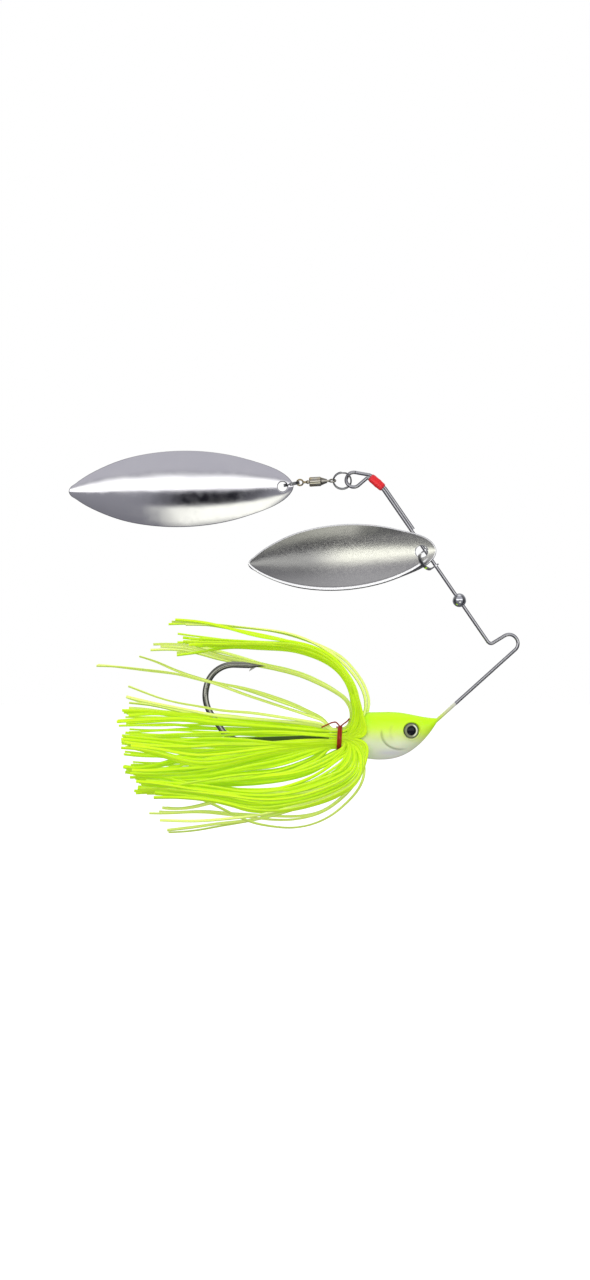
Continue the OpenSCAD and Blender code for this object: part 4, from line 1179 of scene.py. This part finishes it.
def strand_path(line_a, line_b, share_mid, share_tip, arch_y, tip_y, forward, slip):
    length = np.linspace(0, 1, LINE_POINTS)
    share = (share_mid + (share_tip - share_mid) * smooth01((length - 0.45) / 0.5))[:, None]
    line = CURVES[line_a] * (1 - share) + CURVES[line_b] * share
    # sideways slip within the bunch, growing along the strand
    ahead = np.gradient(line, axis=0)
    ahead /= np.linalg.norm(ahead, axis=1)[:, None]
    line = line + ahead[:, ::-1] * [-1, 1] * (slip * (0.25 + length))[:, None]
    sign = -1 if arch_y < 0 else 1
    arch_y = arch_y * 1.3
    tip_y = tip_y * 1.55
    # root on the collar's round
    root_z = (line[0, 1] - SHANK_Z) * (0.42 if forward else 0.9)
    root_z = np.clip(root_z, -2.3, 2.3) + rng.uniform(-0.5, 0.5)
    radius = rng.uniform(2.36, 2.66)
    root_z = np.clip(root_z, -radius * 0.96, radius * 0.96)
    root_y = sign * math.sqrt(max(0.05, radius * radius - root_z * root_z))
    if forward:
        grow = smooth01(length / 0.16)
        first = root_y * 1.25
        y = (first + (arch_y - first) * grow
             + (tip_y - arch_y) * smooth01((length - 0.2) / 0.8) * grow)
        roots = FORWARD_ROOTS
    else:
        first = root_y * 1.1
        y = (first + (arch_y - first) * smooth01(length / 0.5)
             + (tip_y - arch_y) * smooth01((length - 0.35) / 0.65))
        roots = REARWARD_ROOTS
        line = line[line[:, 0] < -47.6]
        y = y[LINE_POINTS - len(line):]
    points = np.stack([line[:, 0], y, line[:, 1]], 1)
    kept = points[::3] if len(points) > 24 else points[::2]
    if not np.allclose(kept[-1], points[-1]):
        kept = np.concatenate([kept, points[-1:]])
    roots = [(x, root_y * out, SHANK_Z + root_z * rise) for x, out, rise in roots]
    strand = curve(np.concatenate([roots, kept]), STRAND_POINTS)
    # lazy waves of the soft strip
    length = np.linspace(0, 1, STRAND_POINTS)
    grow = smooth01((length - 0.12) / 0.5)
    for height, waves in ((0.32, 1.6), (0.07, 3.7)):
        phase = rng.uniform(0, TURN, 2)
        strand[:, 1] += 0.75 * height * grow * np.sin(TURN * waves * length + phase[0])
        strand[:, 2] += 0.8 * height * grow * np.sin(TURN * waves * length + phase[1])
    # strands end where they were cut, never all in one line
    strand = resample(strand[: STRAND_POINTS - rng.integers(0, 4)], STRAND_POINTS)
    return clear(strand, sign)


def clear(strand, sign):
    """Keeps a strand outside the head, its collar and the hook, on the side of sign."""
    for _ in range(3):
        x, y, z = strand.T  # views, so writing to them moves the strand
        # collar
        radius = np.hypot(y, z - SHANK_Z)
        room = COLLAR_R + 0.3
        inside = (x > -47) & (x < COLLAR_ROOT) & (radius < room)
        push = np.where(inside, room / np.maximum(radius, 0.2), 1)
        y *= push
        z[:] = SHANK_Z + (z - SHANK_Z) * push
        # body of the head
        middle, half_height, half_width = head_section(np.clip((NOSE[0] - x) / HEAD_LEN, 0, 1))
        half_height = half_height + 0.42
        half_width = half_width + 0.42
        height = (z - middle) / half_height
        inside = (x > COLLAR_ROOT - 0.35) & (oval_norm(y / half_width, height, 2.17) < 1)
        surface = half_width * np.maximum(0, 1 - np.abs(height) ** 2.17) ** (1 / 2.17)
        y[:] = np.where(inside, sign * np.maximum(np.abs(y), surface), y)
        # hook: wire half thickness and half a strand, eased in over 6 mm each way
        gap = np.linalg.norm(strand[:, None, [0, 2]] - HOOK, axis=2).min(1)
        needed = np.sqrt(np.maximum(0, 1.32**2 - gap**2))
        needed[x > -47] = 0
        span = max(2, int(6.0 / np.linalg.norm(np.diff(strand, axis=0), axis=1).mean()))
        fade = np.cos(np.linspace(-np.pi / 2, np.pi / 2, 2 * span + 1)) ** 2
        wide = np.zeros(len(strand))
        for i in np.nonzero(needed > 0)[0]:
            low, high = max(0, i - span), min(len(strand), i + span + 1)
            reach = needed[i] * fade[low - i + span:high - i + span]
            wide[low:high] = np.maximum(wide[low:high], reach)
        y[:] = np.where(wide > 0, sign * np.maximum(sign * y, wide), y)
        # ease the corners the pushing left
        strand[1:-1] = 0.25 * strand[:-2] + 0.5 * strand[1:-1] + 0.25 * strand[2:]
    return strand


def within(limits, share):
    return limits[0] + (limits[1] - limits[0]) * share


def build_skirt(name, families, forward, node):
    skirt = Piece()
    length = np.linspace(0, 1, STRAND_POINTS)
    for line_a, line_b, count, mid_range, tip_range, arch_range, tip_y_range, slip in families:
        for i in range(count):
            even = 0.5 if count == 1 else i / (count - 1)
            # larger families scatter their depths
            depth = (i * 0.618 + 0.31) % 1 if count > 3 else even
            share = np.clip(even + rng.uniform(-0.5, 0.5) / max(count, 2), 0, 1)
            share_tip = within(tip_range, np.clip(share + rng.uniform(-0.12, 0.12), 0, 1))
            tip_y = within(tip_y_range, np.clip(depth + rng.uniform(-0.15, 0.15), 0, 1))
            shift = (2 * even - 1) * 1.15 if count <= 3 else rng.uniform(-1, 1)
            path = strand_path(line_a, line_b, within(mid_range, share), share_tip,
                               within(arch_range, depth), tip_y, forward, slip * shift)
            twist = rng.uniform(-0.7, 0.7) + rng.uniform(-1.6, 1.6) * length
            twist += 0.35 * np.sin(TURN * rng.uniform(0.6, 1.6) * length + rng.uniform(0, 6))
            # pinched under the tie
            scale = 0.66 + 0.34 * smooth01((length - 0.02) / 0.07)
            verts, faces = sweep(path, SECTION, (0, 1, 0.2), scale, twist + math.pi / 2)
            skirt.add(verts, faces, tone=rng.uniform(0, 1),
                      lone=1.0 if line_a.startswith(SINGLE) else 0.0,
                      along=np.repeat(length, len(SECTION)),
                      edge=np.tile(SECTION_EDGE, STRAND_POINTS) * rng.uniform(0.3, 1))
    made = skirt.finish(name, "strand", "arm", node, sharp=55)
    made.visible_glossy = False


build_skirt("skirt_strands_forward", FORWARD, True, "skirt_outer")
build_skirt("skirt_strands_rear", REARWARD, False, "skirt_inner")

# ---------------------------------------------------------------- tie
TIE_X = -44.023
TIE_WIRE = 0.42
TIE_R = 3.06
# the two cut ends, as offsets from the top of the winding
TIE_TAILS = [
    [(0.1, 0.3, -0.25), (-0.4, 0.1, 0.4), (-1, -0.2, 0.95), (-2, -0.9, 0.85), (-3.3, -1.8, 0.3),
     (-4.7, -2.7, -0.35)],
    [(-0.1, 0.2, -0.25), (0.5, 0, 0.1), (1.1, -0.4, 0.6), (1.9, -0.9, 1.2), (2.5, -1.3, 1.9)],
]


def build_tie():
    """Three leaning turns of wire and two tails standing up from the top."""
    tie = Piece()
    angles = np.linspace(0, 3 * 2 * np.pi, 260)
    turned = angles + math.radians(80)
    x = TIE_X + 0.43 - 0.41 * angles / (2 * np.pi) + 0.10 * np.sin(turned)
    path = np.stack([x, TIE_R * np.cos(turned), SHANK_Z + TIE_R * np.sin(turned)], 1)
    tie.add(*sweep(path, circle(TIE_WIRE / 2, 12), up=(1, 0, 0)))
    top = np.array([TIE_X, -0.5, SHANK_Z + TIE_R + 0.25])
    for tail in TIE_TAILS:
        tie.add(*sweep(curve(top + tail, 30), circle(TIE_WIRE * 0.46, 10), up=(0, 1, 0)))
    tie.finish("skirt_tie_winding", "tie", "arm", "skirt_tie", sharp=60)


build_tie()

# ---------------------------------------------------------------- stage, metres
MIDDLE_X = -0.055


def build_floor(radius=6.0, count=96, height=-0.078):
    mesh = bpy.data.meshes.new("floor")
    rim = [(x + MIDDLE_X, y, height) for x, y in circle(radius, count)]
    mesh.from_pydata(rim, [], [tuple(range(count))])
    mesh.update()
    floor = bpy.data.objects.new("floor", mesh)
    bpy.context.scene.collection.objects.link(floor)
    mat = Material("floor_pale")
    mat.set(base_color=mix(mat.noise(size=40, detail=2), (0.93, 0.93, 0.93, 1),
                           (0.95, 0.95, 0.95, 1)),
            roughness=0.9, specular_ior_level=0.1, emission_color=(1, 1, 1, 1),
            emission_strength=0.36)
    mesh.materials.append(mat.material)
    floor.visible_glossy = False
    floor.visible_diffuse = False


def add_light(name, place, size, power):
    """A round soft light aimed at the middle of the lure."""
    light = bpy.data.lights.new(name, "AREA")
    light.shape = "DISK"
    light.size = size
    light.energy = power
    lamp = bpy.data.objects.new(name, light)
    lamp.location = place
    lamp.rotation_mode = "QUATERNION"
    aim = Vector((MIDDLE_X, 0, 0)) - Vector(place)
    lamp.rotation_quaternion = aim.to_track_quat("-Z", "Y")
    lamp.visible_glossy = False
    bpy.context.scene.collection.objects.link(lamp)


def build_world():
    """A room for reflections, an even one for other light, and white for the camera."""
    world = bpy.data.worlds.new("studio")
    bpy.context.scene.world = world
    world.use_nodes = True
    tree = world.node_tree
    tree.nodes.clear()
    place = add_node(tree, "TexCoord").outputs["Generated"]
    x, y, z = (Value(out) for out in add_node(tree, "SeparateXYZ", {0: place}).outputs)
    # degrees up from the horizon, and round from straight in front (-y), + towards +x
    degrees = 57.2958
    up = z.max(-1).min(1).op("ARCSINE") * degrees
    turn = x.op("ARCTAN2", y * -1) * degrees
    away = turn.abs()

    # front: greys, lightest overhead
    front = mix(up.step(off=-60, on=-5), (0.19, 0.19, 0.215, 1), (0.27, 0.27, 0.30, 1))
    front = mix(up.step(off=16, on=30), front, (0.50, 0.495, 0.54, 1))
    front = mix(up.step(off=62, on=80), front, (0.95, 0.95, 0.95, 1))
    # a warm bright patch low down, a dark one just over it, and a long soft box
    warm = (up.step(off=-50, on=-40) * up.step(off=-19, on=-26)
            * turn.step(off=-10, on=3) * turn.step(off=34, on=22))
    front = mix(warm, front, (1.25, 1.26, 1.14, 1))
    dark = (up.step(off=-24, on=-18) * up.step(off=-2, on=-6)
            * turn.step(off=-8, on=1) * turn.step(off=17, on=9))
    front = mix(dark, front, (0, 0, 0.004, 1))
    strip = up.step(off=-2.5, on=0.5) * up.step(off=25, on=13) * away.step(off=70, on=44)
    front = mix(strip, front, (1.5, 1.5, 1.5, 1))
    # dark sides and a dim back, with a second soft box behind
    sides = mix(up.step(off=-10, on=40), (0.045, 0.045, 0.05, 1), (0.16, 0.16, 0.17, 1))
    back = mix(up.step(off=-50, on=40), (0.13, 0.13, 0.14, 1), (0.34, 0.34, 0.36, 1))
    rest = mix(away.step(off=96, on=126), sides, back)
    rest = mix(up.step(off=60, on=80), rest, (0.95, 0.95, 0.95, 1))
    box = up.step(off=-6, on=4) * up.step(off=34, on=20) * away.step(off=128, on=145)
    rest = mix(box, rest, (1, 1, 1, 1))
    mirrored = mix(away.step(off=46, on=74), front, rest)

    even = mix(z.step(off=-0.8, on=0.9), (0.62, 0.62, 0.63, 1), (0.86, 0.86, 0.87, 1))
    rays = add_node(tree, "LightPath").outputs
    color = mix(Value(rays["Is Glossy Ray"]), even, mirrored)
    color = mix(Value(rays["Is Camera Ray"]), color, (1, 1, 1, 1))
    background = add_node(tree, "Background", {"Color": color})
    add_node(tree, "OutputWorld", {"Surface": background.outputs[0]})


def build_camera(view_width=0.3328):
    """Looks along +y at the lure's right side, with view_width metres across the frame."""
    camera = bpy.data.cameras.new("camera")
    camera.lens = 180
    camera.sensor_width = 36
    camera.clip_start = 0.05
    camera.clip_end = 20
    holder = bpy.data.objects.new("camera", camera)
    holder.location = (-0.05564, -view_width * camera.lens / camera.sensor_width, 0.000884)
    holder.rotation_euler = (math.pi / 2, 0, 0)
    bpy.context.scene.collection.objects.link(holder)
    bpy.context.scene.camera = holder


build_floor()
add_light("key", place=(-0.35, -0.9, 1), size=0.8, power=8)
add_light("fill", place=(0.7, -1, 0.25), size=0.9, power=2)
build_world()
bpy.context.scene.view_settings.view_transform = "Standard"
bpy.context.scene.view_settings.look = "None"
build_camera()

bpy.context.view_layer.update()
